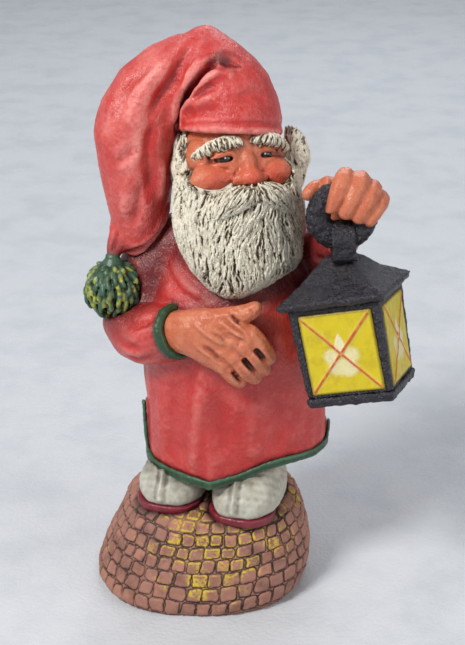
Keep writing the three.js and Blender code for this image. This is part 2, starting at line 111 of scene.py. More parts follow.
def fuzz(co, size, seed=0):
    """Smooth noise from -1 to 1, with features of the given size."""
    p = co / size + 31.7 * seed
    cell = np.floor(p).astype(np.int64)
    f = p - cell
    f = f * f * (3 - 2 * f)
    total = np.zeros(len(co))
    for corner in itertools.product((0, 1), repeat=3):
        a, b, c = (cell + corner).T
        h = (a * 73856093) ^ (b * 19349663) ^ (c * 83492791)
        h = ((h ^ (h >> 13)) * 1274126177) & 0x7FFFFFFF
        h = ((h ^ (h >> 15)) * 668265263) & 0x7FFFFFFF
        total += h / 0x7FFFFFFF * np.prod(np.where(corner, f, 1 - f), axis=1)
    return 2 * total - 1


def scramble(index, seed=0):
    """A random number from 0 to 1 for each whole number."""
    h = (np.asarray(index, np.int64) + 7919 * seed) * 2654435761 & 0x7FFFFFFF
    h = ((h ^ (h >> 13)) * 1274126177) & 0x7FFFFFFF
    return (h ^ (h >> 9)) % 10007 / 10007


# ---- Clay ----------------------------------------------------------------------------------------


def new_object(name, mesh):
    obj = bpy.data.objects.new(name, mesh)
    scene.collection.objects.link(obj)
    return obj


def shape(make, *transforms, **sizes):
    """A mesh part from one of bmesh's primitives, in metres."""
    bm = bmesh.new()
    make(bm, **sizes)
    for matrix in transforms:
        bmesh.ops.transform(bm, matrix=matrix, verts=bm.verts)
    mesh = bpy.data.meshes.new("part")
    bm.to_mesh(mesh)
    bm.free()
    return mesh


def blob(place, size, turn=None):
    """A ball as a part, with its centre and half sizes in mm."""
    size = np.broadcast_to(size, 3)
    matrix = Matrix.Translation(Vector(place) / MM) @ (turn or Matrix()) @ Matrix.Diagonal((*size / MM, 1))
    return shape(bmesh.ops.create_icosphere, matrix, subdivisions=3, radius=1)


def rope(points, radii, sides=10, flat=1.0):
    """A tapered, round-ended tube through points, as a part."""
    points = np.asarray(points, float)
    t = np.linspace(0, 1, len(points))
    fine = np.linspace(0, 1, 4 * len(points))
    path = np.stack([smooth_through(t, points[:, k], fine) for k in range(3)], axis=1)
    radius = np.interp(fine, t, np.broadcast_to(radii, len(points)))
    ends = np.sin(np.linspace(0.15, 1, 4) * math.pi / 2)
    radius[:4] *= ends
    radius[-4:] *= ends[::-1]
    bm = bmesh.new()
    rings = []
    side = unit(np.cross(path[1] - path[0], (0.3, 0.9, 0.31)))
    for k, place in enumerate(path):
        along = unit(path[min(k + 1, len(path) - 1)] - path[max(k - 1, 0)])
        side = unit(side - along * side.dot(along))
        up = np.cross(along, side)
        turn = np.arange(sides) / sides * 2 * math.pi
        ring = [place + radius[k] * (math.cos(a) * side + flat * math.sin(a) * up) for a in turn]
        rings.append([bm.verts.new(p / MM) for p in ring])
    for low, high in zip(rings, rings[1:]):
        for k in range(sides):
            bm.faces.new((low[k], low[(k + 1) % sides], high[(k + 1) % sides], high[k]))
    bm.faces.new(rings[0][::-1])
    bm.faces.new(rings[-1])
    mesh = bpy.data.meshes.new("part")
    bm.to_mesh(mesh)
    bm.free()
    return mesh


def smooth_through(t, values, at):
    """Values of a Catmull-Rom spline through evenly spaced knots."""
    n = len(values)
    x = np.clip(at * (n - 1), 0, n - 1)
    k = np.minimum(x.astype(int), n - 2)
    f = x - k
    v = np.concatenate([[2 * values[0] - values[1]], values, [2 * values[-1] - values[-2]]])
    a, b, c, d = v[k], v[k + 1], v[k + 2], v[k + 3]
    return 0.5 * (2 * b + (c - a) * f + (2 * a - 5 * b + 4 * c - d) * f**2 + (3 * b - a - 3 * c + d) * f**3)


def from_line(points, line):
    """How far points are from a bent line, and at which share of its length they are nearest to it."""
    least = np.full(len(points), np.inf)
    share = np.zeros(len(points))
    for k, (start, end) in enumerate(zip(line, line[1:])):
        way = end - start
        t = np.clip((points - start) @ way / max(way @ way, 1e-9), 0, 1)
        distance = np.linalg.norm(points - start - t[:, None] * way, axis=1)
        closer = distance < least
        least[closer] = distance[closer]
        share[closer] = (k + t[closer]) / (len(line) - 1)
    return least, share


def bvh(mesh):
    """A tree that finds places on a mesh."""
    bm = bmesh.new()
    bm.from_mesh(mesh)
    tree = BVHTree.FromBMesh(bm)
    bm.free()
    return tree


# A crease's cross-section, as shares of its width.
GROOVE = 0.62
LIP = 0.7
LIP_PLACE = 1.25


class Clay:
    """A piece that is being sculpted."""

    def __init__(self, name, nodes=None, extra=(), voxel=0.9, rounds=6, levels=1, grow=0.3):
        """Remeshes the nodes, or the one of that name, and extra parts into one skin, voxels in mm."""
        nodes = [name] if nodes is None else nodes
        self.nodes = nodes
        bm = bmesh.new()
        for mesh in [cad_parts[node].data for node in nodes] + list(extra):
            bm.from_mesh(mesh)
        mesh = bpy.data.meshes.new(name)
        bm.to_mesh(mesh)
        bm.free()
        self.obj = new_object(name, mesh)
        remesh = self.obj.modifiers.new("remesh", "REMESH")
        remesh.mode = "VOXEL"
        remesh.voxel_size = voxel / MM
        soften = self.obj.modifiers.new("soften", "SMOOTH")
        soften.factor = 0.5
        soften.iterations = rounds
        if levels:
            finer = self.obj.modifiers.new("finer", "SUBSURF")
            finer.levels = finer.render_levels = levels
        graph = bpy.context.evaluated_depsgraph_get()
        skin = bpy.data.meshes.new_from_object(self.obj.evaluated_get(graph))
        self.obj.modifiers.clear()
        self.obj.data = skin
        bpy.data.meshes.remove(mesh)
        skin.name = name
        self.read()
        self.push(np.full(self.n, grow))

    def read(self):
        """Takes the points and edges out of the mesh, and clears the masks."""
        mesh = self.obj.data
        self.n = len(mesh.vertices)
        self.co = np.empty(self.n * 3)
        mesh.vertices.foreach_get("co", self.co)
        self.co = self.co.reshape(-1, 3) * MM
        edges = np.empty(len(mesh.edges) * 2, int)
        mesh.edges.foreach_get("vertices", edges)
        self.a, self.b = edges.reshape(-1, 2).T
        self.degree = np.maximum(np.bincount(edges, minlength=self.n), 1)
        self.spacing = np.linalg.norm(self.co[self.a] - self.co[self.b], axis=1).mean()
        self.deep = np.zeros(self.n)
        self.high = np.zeros(self.n)
        self.tint = np.zeros(self.n)

    def write(self):
        self.obj.data.vertices.foreach_set("co", (self.co / MM).ravel())
        self.obj.data.update()

    @property
    def normals(self):
        self.write()
        out = np.empty(self.n * 3, np.float32)
        self.obj.data.vertex_normals.foreach_get("vector", out)
        return out.reshape(-1, 3).astype(float)

    def mean(self, field, rounds=1):
        """The field, averaged with its neighbours."""
        field = np.asarray(field, float)
        if field.ndim == 2:
            return np.stack([self.mean(column, rounds) for column in field.T], axis=1)
        for _ in range(rounds):
            total = np.bincount(self.a, field[self.b], self.n) + np.bincount(self.b, field[self.a], self.n)
            field = 0.5 * field + 0.5 * total / self.degree
        return field

    def fuzz(self, size, seed=0):
        return fuzz(self.co, size, seed)

    def push(self, amount):
        """Moves each point along its normal."""
        self.co += self.normals * np.asarray(amount)[:, None]

    def relax(self, mask, rounds):
        """Smooths the points where the mask is 1."""
        for _ in range(rounds):
            self.co += (self.mean(self.co) - self.co) * mask[:, None]

    def fold(self, tree, node, folds, strength=1.0, back=False):
        """Creases along lines seen from in front or from behind, each with a width and a depth."""
        for places, width, depth in folds:
            self.crease(on_front(tree, node, places, back), width, strength * depth)

    def hollow(self, rounds=2):
        """How far each point sits below (positive) or above (negative) its surroundings, in mm."""
        around = self.mean(self.co, rounds)
        return self.mean(((around - self.co) * self.normals).sum(axis=1), 1)

    def read_relief(self, rounds, reach, deep=1.0, high=1.0):
        """Adds what lies low to the deep mask and what stands out to the high mask: painted shade and
        highlights.
        """
        hollow = self.hollow(rounds) / reach
        self.deep = np.clip(self.deep + deep * np.clip(hollow, 0, 1), 0, 1)
        self.high = np.clip(self.high + high * np.clip(-hollow, 0, 1), 0, 1)

    def darken(self, amount):
        self.deep = np.clip(self.deep + amount, 0, 1)

    def lighten(self, amount):
        self.high = np.clip(self.high + amount, 0, 1)

    def tree(self):
        self.write()
        return bvh(self.obj.data)

    def within(self, low, high, reach):
        """The numbers of the points in a box, or less than the reach outside it."""
        return np.nonzero(np.all((self.co > low - reach) & (self.co < high + reach), axis=1))[0]

    def near(self, *others, reach=6.0):
        """1 at points that touch another piece or CAD node, falling to 0 at the given distance."""
        out = np.zeros(self.n)
        for other in others:
            tree = other.tree() if isinstance(other, Clay) else node_tree(other)
            low, high = (other.co.min(0), other.co.max(0)) if isinstance(other, Clay) else mm_box(other)
            for i in self.within(low, high, reach):
                distance = tree.find_nearest(Vector(self.co[i] / MM), reach / MM)[3]
                if distance is not None:
                    out[i] = max(out[i], 1 - distance * MM / reach)
        return out

    def strokes(self, lines, widths, blunt=0.35):
        """How close each point is to the middle of a stroke, from 0 to 1, and that stroke's number."""
        best = np.zeros(self.n)
        which = np.full(self.n, -1)
        for number, (line, width) in enumerate(zip(lines, np.broadcast_to(widths, len(lines)))):
            line = np.asarray(line)
            near = self.within(line.min(0), line.max(0), width)
            if not len(near) or not line.any():
                continue
            least, share = from_line(self.co[near], line)
            taper = np.clip(np.sin(math.pi * share), 0, 1) ** blunt if blunt else np.ones(len(near))
            level = 1 - (least / (width * np.maximum(taper, 0.05))) ** 2
            wins = level > best[near]
            best[near[wins]] = level[wins]
            which[near[wins]] = number
        return best, which

    def crease(self, line, width, depth, lip=0.22, ends=0.3):
        """Carves a soft groove along a line, with a low lip on both sides. A negative depth raises a ridge.

        The groove fades out over the given share of its length at each end, and its strength comes back.
        """
        out = np.zeros(self.n)
        if not line.any():
            return out
        reach = 3.2 * width
        near = self.within(line.min(0), line.max(0), reach)
        least, share = from_line(self.co[near], line)
        fade = step(share, 0, ends) * step(1 - share, 0, ends)
        groove = bell(least, GROOVE * width)
        out[near] = fade * groove
        shaped = np.zeros(self.n)
        shaped[near] = fade * (groove - lip * bell(least - LIP_PLACE * width, LIP * width))
        self.push(-depth * shaped)
        return out

    def snug(self, other, reach=3.5, gap=0.15):
        """Swells out to a neighbour that lies straight over the surface."""
        tree = node_tree(other)
        low, high = mm_box(other)
        normals = self.normals
        rise = np.zeros(self.n)
        for i in self.within(low, high, reach):
            hit, _, _, distance = tree.find_nearest(Vector(self.co[i] / MM), reach / MM)
            if hit is None:
                continue
            over = (np.array(hit) * MM - self.co[i]) @ normals[i]
            if over > 0.7 * distance * MM:
                rise[i] = max(over - gap, 0)
        self.co += normals * self.mean(rise, 2)[:, None]

    def scatter(self, spacing):
        """Point numbers, about one in each cube of the given size."""
        order = rng.permutation(self.n)
        cells = np.floor(self.co[order] / spacing + rng.random(3)).astype(int)
        _, first = np.unique(cells, axis=0, return_index=True)
        return order[np.sort(first)]

    def locks(self, seeds, flow, length, steps=6):
        """Lines that run over the surface from each seed, each along the flow at its place."""
        tree = self.tree()
        places, normals = self.co[seeds], self.normals[seeds]
        total = length * (0.6 + 0.8 * rng.random(len(seeds)))
        phase = rng.random(len(seeds))
        lines = [places]
        for k in range(steps):
            way = flow(places, phase, k / steps)
            way = way - normals * (way * normals).sum(axis=1)[:, None]
            way /= np.linalg.norm(way, axis=1)[:, None] + 1e-9
            hits = [tree.find_nearest(Vector(p))[:2] for p in (places + way * total[:, None] / steps) / MM]
            places = np.array([hit[:] for hit, _ in hits]) * MM
            normals = np.array([facing[:] for _, facing in hits])
            lines.append(places)
        return np.stack(lines, axis=1)

    def done(self, paint, slot):
        """Hands the piece over: its points, masks and paint, and the nodes that it stands for."""
        mesh = self.obj.data
        self.write()
        for name in ("deep", "high", "tint"):
            layer = mesh.attributes.new(name, "FLOAT", "POINT")
            layer.data.foreach_set("value", np.clip(getattr(self, name), -1, 1).astype(np.float32))
        mesh.polygons.foreach_set("use_smooth", [True] * len(mesh.polygons))
        mesh.materials.clear()
        mesh.materials.append(paint)
        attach(self.obj, "root")
        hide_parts(*self.nodes)
        return self


_trees = {}


def node_tree(node):
    """The surface of a CAD node, made once."""
    if node not in _trees:
        _trees[node] = bvh(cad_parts[node].data)
    return _trees[node]


def on_front(tree, node, places, back=False):
    """A smooth line on a piece, through (across, up) shares of a node's box seen straight from in front.

    Seen from behind, the shares still run towards the object's left. A line that misses is all zeros.
    """
    low, high = mm_box(node)
    hits = []
    for u, v in places:
        x, z = low[0] + u * (high[0] - low[0]), low[2] + v * (high[2] - low[2])
        behind = 1 if back else -1
        hits.append(cast(tree, (x, behind * OUTSIDE, z), (0, -behind, 0)))
    hits = [hit for hit in hits if hit is not None]
    return smooth_line(hits) if len(hits) > 1 else np.zeros((2, 3))


def cast(tree, start, way):
    """Where a ray from a place meets a surface, in mm, or None."""
    hit = tree.ray_cast(Vector(np.asarray(start) / MM), Vector(unit(way)))[0]
    return None if hit is None else np.array(hit) * MM


def smooth_line(points, per=5):
    """A spline through points, with so many pieces between two of them."""
    points = np.asarray(points, float)
    t = np.linspace(0, 1, len(points))
    fine = np.linspace(0, 1, per * (len(points) - 1) + 1)
    return np.stack([smooth_through(t, points[:, k], fine) for k in range(3)], axis=1)


# ---- Paint ---------------------------------------------------------------------------------------


def rgb(code):
    """A linear colour from the six hexadecimal digits of a screen colour."""
    parts = [int(code[k : k + 2], 16) / 255 for k in (0, 2, 4)]
    return (*[c / 12.92 if c <= 0.04045 else ((c + 0.055) / 1.055) ** 2.4 for c in parts], 1.0)


class Paint:
    """A procedural paint, built up in coats over a base colour."""

    def __init__(self, name, base, rough=0.5, gloss=0.5):
        self.material = bpy.data.materials.new(name)
        self.material.use_nodes = True
        self.tree = self.material.node_tree
        self.shader = self.tree.nodes["Principled BSDF"]
        self.shader.inputs["Specular IOR Level"].default_value = gloss
        self.place = self.tree.nodes.new("ShaderNodeTexCoord").outputs["Object"]
        self.colour = rgb(base)
        self.rough = rough
        self.height = None

    def node(self, kind, settings=(), **inputs):
        """A shader node. An input's keyword is its name, or an underscore and its number."""
        node = self.tree.nodes.new(kind)
        for name, value in dict(settings).items():
            setattr(node, name, value)
        for name, value in inputs.items():
            socket = int(name[1:]) if name[1:].isdigit() else name.replace("_", " ")
            self.feed(node.inputs[socket], value)
        return node

    def feed(self, socket, value):
        if isinstance(value, bpy.types.NodeSocket):
            self.tree.links.new(value, socket)
        else:
            socket.default_value = value

    def mask(self, name, low=None, high=None, to_low=0.0, to_high=1.0):
        """One of the sculpted masks, spread if it has a range."""
        mask = self.node("ShaderNodeAttribute", {"attribute_name": name}).outputs["Fac"]
        return mask if low is None else self.spread(mask, low, high, to_low, to_high)

    def noise(self, size, low=0.4, high=0.6, detail=4, stretch=None, rough=0.6):
        """Noise with features of a size in mm, spread between 0 and 1."""
        place = self.place
        if stretch is not None:
            scaled = self.node("ShaderNodeVectorMath", {"operation": "MULTIPLY"}, _0=place, _1=stretch)
            place = scaled.outputs[0]
        noise = self.node("ShaderNodeTexNoise", Vector=place, Scale=MM / size, Detail=detail, Roughness=rough)
        return self.spread(noise.outputs[0], low, high)

    def spread(self, value, low, high, to_low=0.0, to_high=1.0):
        """A value's range from low to high, spread smoothly over another range."""
        smooth = {"interpolation_type": "SMOOTHSTEP"}
        node = self.node("ShaderNodeMapRange", smooth, Value=value, _1=low, _2=high, _3=to_low, _4=to_high)
        return node.outputs[0]

    def math(self, operation, a, b=0.0):
        return self.node("ShaderNodeMath", {"operation": operation, "use_clamp": True}, _0=a, _1=b).outputs[0]

    def times(self, a, b):
        return self.math("MULTIPLY", a, b)

    def coat(self, colour, mask, *more):
        """Lays a colour over what is there, as much as the masks say together."""
        for factor in more:
            mask = self.times(mask, factor)
        mix = self.node("ShaderNodeMix", {"data_type": "RGBA"}, _0=mask, _6=self.colour, _7=rgb(colour))
        self.colour = mix.outputs[2]

    def sheen(self, size, low, high):
        """Lets the roughness wander between two values, in patches of a size in mm."""
        self.rough = self.spread(self.noise(size, 0.3, 0.7), 0, 1, low, high)

    def grain(self, size, depth, detail=3, stretch=None):
        """Adds bumps of a size and a depth in mm."""
        bumps = self.times(self.noise(size, 0.25, 0.75, detail, stretch), depth / MM)
        self.height = bumps if self.height is None else self.math("ADD", self.height, bumps)

    def done(self):
        self.feed(self.shader.inputs["Base Color"], self.colour)
        self.feed(self.shader.inputs["Roughness"], self.rough)
        if self.height is not None:
            bump = self.node("ShaderNodeBump", Height=self.height, Distance=1.0, Strength=1.0)
            self.feed(self.shader.inputs["Normal"], bump.outputs[0])
        return self.material


def sculpted_paint(
    name, base, pale, deep, high, *, rough=0.45, gloss=0.5, blotch=9.0, deepness=0.9, highness=0.6
):
    """The usual paint: a blotched base, painted shade in the hollows and painted highlights on what stands
    out.
    """
    paint = Paint(name, base, gloss=gloss)
    paint.coat(pale, paint.noise(blotch, 0.42, 0.66), 0.55)
    paint.coat(deep, paint.noise(blotch * 0.6, 0.5, 0.75), 0.3)
    # Painted highlights on what stands out.
    paint.coat(high, paint.mask("high"), highness, paint.noise(1.6, 0.25, 0.6))
    # Painted shade in the hollows.
    paint.coat(deep, paint.mask("deep"), deepness)
    paint.sheen(3.5, rough - 0.08, rough + 0.1)
    paint.grain(0.7, 0.05)
    paint.grain(3.0, 0.12)
    return paint


# ---- Camera and light ----------------------------------------------------------------------------

CAMERA = {"elevation": 24.0, "distance": 0.7, "lens": 83.7, "aside": 0.0138, "height": 0.131}
# Each light's place, size, power and colour, and the place that all of them point to.
LIGHTS = {
    "key": ((-0.75, -0.7, 1.2), 0.42, 20.0, (1, 0.985, 0.96)),
    "fill": ((1.1, -0.55, 0.5), 0.9, 5.0, (1, 0.97, 0.93)),
    "rim": ((0.2, 1.1, 1.0), 0.8, 6.0, (0.93, 0.96, 1)),
}
LIT = (0.01, 0, 0.15)


def look_at(obj, place, target):
    obj.location = place
    obj.rotation_euler = (Vector(target) - Vector(place)).to_track_quat("-Z", "Y").to_euler()


def add_camera():
    camera = bpy.data.objects.new("camera", bpy.data.cameras.new("camera"))
    scene.collection.objects.link(camera)
    scene.camera = camera
    camera.data.sensor_fit = "VERTICAL"
    camera.data.sensor_height = 36.0
    camera.data.lens = CAMERA["lens"]
    camera.data.clip_start = 0.01
    up = math.radians(CAMERA["elevation"])
    target = Vector((CAMERA["aside"], 0, CAMERA["height"]))
    back = Vector((0, -math.cos(up), math.sin(up)))
    look_at(camera, target + back * CAMERA["distance"], target)


def area_light(name, place, target, size, power, colour):
    light = bpy.data.lights.new(name, "AREA")
    light.shape = "DISK"
    light.size = size
    light.energy = power
    light.color = colour
    obj = bpy.data.objects.new(name, light)
    scene.collection.objects.link(obj)
    look_at(obj, place, target)


def add_studio():
    scene.view_settings.view_transform = "Standard"
    scene.view_settings.look = "None"
    world = bpy.data.worlds.new("studio")
    scene.world = world
    world.use_nodes = True
    world.node_tree.nodes["Background"].inputs[0].default_value = (0.90, 0.94, 1.0, 1)
    world.node_tree.nodes["Background"].inputs[1].default_value = 0.40
    for name, (place, size, power, colour) in LIGHTS.items():
        area_light(name, place, LIT, size, power, colour)
    floor = shape(bmesh.ops.create_grid, x_segments=60, y_segments=60, size=3.0)
    floor = new_object("floor", floor)
    paint = Paint("table_top", "c9ccd0", gloss=0.35)
    paint.coat("bfc3c8", paint.noise(40, 0.4, 0.7))
    paint.rough = 0.6
    paint.grain(2.2, 0.16, 2)
    floor.data.materials.append(paint.done())


add_camera()
add_studio()


# ---- Mound ---------------------------------------------------------------------------------------


COURSE = 7.6
STONE_WIDTH = 7.2
FEWEST_STONES = 5


def make_mound():
    """Courses of stones run round the mound, and each stone has its own width, tilt and corners."""
    clay = Clay("mound", ["base_mound"], voxel=1.02, rounds=5, grow=0.1)
    low, high = mm_box("base_mound")
    size = high - low
    x, y, z = clay.co.T
    up = np.clip(z / size[2], 0, 1)
    ax = low[0] + size[0] * (0.49 + 0.055 * up)
    ay = (low[1] + high[1]) / 2 + 0.03 * size[1] * up
    turn = np.arctan2(y - ay, x - ax)
    radius = np.hypot(x - ax, (y - ay) * size[0] / size[1])
    rim = size[0] / 2
    warp = 1.3 * clay.fuzz(15, 1) + 0.55 * clay.fuzz(5, 2)
    along = z + 0.8 * (rim - radius) + warp - 1.0
    row = np.floor(along / COURSE).astype(int)
    climb = row * COURSE
    row_reach = np.maximum(rim - 0.22 * np.minimum(climb, 42) - np.maximum(climb - 44, 0) * 1.1, 7)
    stones = np.round(2 * math.pi * row_reach / (STONE_WIDTH + 1.0 * scramble(row, 5)))
    stones = np.maximum(stones, FEWEST_STONES)
    column = turn / (2 * math.pi) * stones + 7 * scramble(row, 1)
    column = column + 0.12 * clay.fuzz(9, 3) + 0.07 * clay.fuzz(4, 9)
    number = np.floor(column).astype(int)
    stone = number + 997 * row
    wide = 2 * math.pi * np.maximum(radius, 6) / stones
    narrow = 0.05 + 0.42 * scramble(stone, 6)
    shift = 0.5 * (scramble(stone, 2) - 0.5)
    side = (0.5 - np.abs(column - number - 0.5)) * wide - narrow + shift * np.sign(column - number - 0.5)
    short = 0.02 + 0.36 * scramble(stone, 7)
    level = np.minimum(along - climb, climb + COURSE - along) - short
    corner = 1.2 + 0.8 * scramble(stone, 10)
    inset = corner - np.hypot(np.clip(corner - side, 0, None), np.clip(corner - level, 0, None))
    inset = inset + 0.36 * clay.fuzz(2.4, 15)
    groove = bell(inset - 0.1, 0.42)
    inside = step(inset, -0.1, 0.5)
    tilt = (scramble(stone, 3) - 0.5) * step(inset, 0.2, 1.6)
    ground = step(clay.co[:, 2], 0.3, 2.0)
    wear_and_highlight = 1 - 0.75 * step(clay.fuzz(13, 14) + 0.9 * step(clay.co[:, 2], 36, 42), 0.45, 1.0)
    relief = 0.3 - 0.95 * groove * wear_and_highlight + 0.55 * tilt + 0.15 * inside + 0.2 * clay.fuzz(2.2, 4)
    clay.push(ground * relief)
    clay.push(ground * 0.5 * clay.fuzz(10, 12))
    clay.co[:, 2] = np.maximum(clay.co[:, 2], 0)
    clay.co[z < 0.5, 2] = 0
    clay.deep = groove * ground * wear_and_highlight
    front = bell(clay.co[:, 0] - 1, 25) * step(-clay.co[:, 1], 6, 34) * step(clay.co[:, 2], 3, 12)
    right = bell(clay.co[:, 0] - 40, 14) * step(clay.co[:, 2], 12, 26)
    rubbed = 0.7 * clay.fuzz(8, 6) + 0.4 * clay.fuzz(3, 16) + 1.25 * front + 0.45 * right
    patch = step(rubbed, 0.3, 1.2)
    edge = np.maximum(bell(inset - 0.85, 0.45), 0.75 * bell(inset + 0.75, 0.4))
    clay.high = np.clip(edge + 0.28 * inside, 0, 1) * patch * (0.5 + 0.5 * scramble(stone, 4))
    clay.tint = scramble(stone, 8) * inside
    # Painted shade where the soles stand on the mound.
    clay.darken(0.8 * clay.near("sole_right", "sole_left", reach=4.5))
    paint = Paint("mound_paint", "95695b", gloss=0.4)
    paint.coat("b27a66", paint.mask("tint"), 0.8)
    paint.coat("6a4338", paint.noise(10, 0.45, 0.66), 0.6)
    paint.coat("a98a6c", paint.noise(2.2, 0.55, 0.75), 0.5)
    paint.coat("8d6a3c", paint.noise(7, 0.55, 0.75), 0.35)
    paint.coat("cdb030", paint.mask("high", 0.12, 0.8), paint.noise(1.5, 0.4, 0.54))
    # Dark joints between the stones, and painted shade under the soles.
    paint.coat(
        "2e201c",
        paint.mask("deep", 0.15, 0.9),
        paint.spread(paint.noise(5, 0.2, 0.6), 0, 1, 0.6, 0.95),
    )
    paint.sheen(4, 0.48, 0.7)
    paint.grain(0.6, 0.08)
    clay.done(paint.done(), "mound_stone")


# ---- Feet ----------------------------------------------------------------------------------------


def long_axis(node):
    """A flat node's middle and its long direction, pointing to the front."""
    co = node_points(node)
    _, _, axes = np.linalg.svd(co - co.mean(0), full_matrices=False)
    along = axes[0] * (-1 if axes[0][1] > 0 else 1)
    return centre(node), unit((along[0], along[1], 0))


# The sole's breadth, length and thickness beside the CAD node's.
SOLE_SCALE = (0.945, 0.95, 1)


def make_foot(side, boot_paint, sole_paint):
    middle, along = long_axis(f"sole_{side}")
    axes = Axes(middle, np.cross(-along, (0, 0, 1)), -along)
    sole = Clay(f"sole_{side}", voxel=0.62, rounds=5, levels=1, grow=0.4)
    p = axes.local(sole.co) * SOLE_SCALE
    sole.co = axes.world(p)
    rim = step(sole.hollow(3) * -1, 0.0, 0.1)
    stitch = 0.5 + 0.5 * np.sin(np.arctan2(p[:, 1], p[:, 0] * 1.3) * 30)
    sole.push(0.14 * sole.fuzz(3.0, 1) + 0.12 * rim * stitch - 0.35 * bell(p[:, 2] - 0.2, 0.5) * rim)
    # Painted shade in the hollows and painted highlights on what stands out.
    sole.read_relief(3, 0.12)
    # Painted shade under the boot and in the groove round the foot of the sole.
    sole.darken(0.75 * sole.near(f"boot_{side}", reach=1.8) * (sole.co[:, 2] > middle[2]))
    sole.darken(0.5 * bell(p[:, 2] - 0.2, 0.5) * rim)
    sole.done(sole_paint, "sole_maroon")
    boot = Clay(f"boot_{side}", voxel=0.85, rounds=8, grow=0.4)
    p = axes.local(boot.co)
    spread = 1 + 0.09 * step(8 - p[:, 2], 0, 6) - 0.08 * step(p[:, 2], 7, 16)
    p[:, 0] *= spread
    p[:, 1] = np.where(p[:, 1] < 0, p[:, 1] * (1 + 0.06 * step(9 - p[:, 2], 0, 7)), p[:, 1])
    boot.co = axes.world(p)
    wander = 0.9 * np.sin(p[:, 1] / 5)
    off = np.abs(p[:, 0] - wander)
    seam = bell(off, 1.15)
    gully = bell(off - 2.6, 1.0)
    toe = step(-p[:, 1], -1, 4) * step(p[:, 2], 2.5, 6)
    boot.push(toe * (1.0 * seam - 0.3 * gully))
    wrinkle = np.sin((p[:, 1] * 0.9 + 1.3 * p[:, 2] + 2.6 * boot.fuzz(9, 3)) * 0.95)
    ankle = step(p[:, 2], 6, 11) * step(np.abs(p[:, 0]), 1, 4)
    boot.push(0.13 * ankle * wrinkle + 0.6 * boot.fuzz(8, 4) + 0.12 * boot.fuzz(2, 5))
    # Painted shade in the hollows and painted highlights on what stands out.
    boot.read_relief(5, 0.1, deep=0.9, high=0.8)
    # Painted shade in the gully beside the toe seam and along the foot of the boot against the sole, and
    # under the tunic.
    boot.darken(0.4 * toe * gully * step(boot.fuzz(4, 8), -0.4, 0.4) + 0.6 * step(3.2 - p[:, 2], 0, 1.4))
    boot.darken(0.85 * boot.near("tunic", "hem_trim", reach=6))
    boot.done(boot_paint, "boot_grey")


def make_feet():
    boots = Paint("boot_paint", "aeab9b", gloss=0.45)
    boots.coat("c4c2b4", boots.noise(6, 0.42, 0.66, stretch=(1, 1, 0.5)), 0.8)
    boots.coat("8d8979", boots.noise(3.4, 0.5, 0.72, stretch=(1, 1, 0.4)), 0.5)
    # Painted highlights on what stands out, and painted shade in the hollows and under the tunic.
    boots.coat("d8d7cc", boots.mask("high"), 0.85, boots.noise(1.6, 0.3, 0.6))
    boots.coat("4d463a", boots.mask("deep"), 0.85)
    boots.sheen(3.5, 0.34, 0.5)
    boots.grain(0.8, 0.08, stretch=(1, 1, 0.5))
    boots = boots.done()
    soles = sculpted_paint(
        "sole_paint", "6f1a27", "85303c", "2a0a10", "a34450", rough=0.36, blotch=6, deepness=0.9, highness=0.5
    ).done()
    for side in ("right", "left"):
        make_foot(side, boots, soles)


# ---- Clothes -------------------------------------------------------------------------------------


def red_paint(name):
    paint = Paint(name, "bd2a25", gloss=0.6)
    paint.coat("d24d46", paint.noise(12, 0.42, 0.66), 0.6)
    paint.coat("a42623", paint.noise(6, 0.5, 0.72), 0.5)
    # Painted highlights on what stands out.
    paint.coat("f0938a", paint.mask("high"), 0.9, paint.noise(2.4, 0.15, 0.55))
    paint.coat("cf8a55", paint.noise(1.5, 0.66, 0.78, stretch=(1, 1, 0.35)), 0.4)
    # Painted shade in the hollows and folds.
    paint.coat("7a1417", paint.mask("deep", 0, 0.7), 0.75)
    paint.coat("2a060a", paint.mask("deep", 0.5, 1.0), 0.85)
    # Painted shade beside the pieces that lie over the cloth, with orange dry-brushed streaks of the figure's
    # paint through it.
    paint.coat("47111a", paint.mask("tint"), 0.82)
    paint.coat("c46a3c", paint.mask("tint"), paint.noise(1.6, 0.56, 0.7, stretch=(1, 1, 0.4)), 0.5)
    paint.sheen(3.5, 0.27, 0.42)
    paint.grain(0.8, 0.18, stretch=(1, 1, 0.55))
    paint.grain(3.2, 0.14)
    return paint.done()


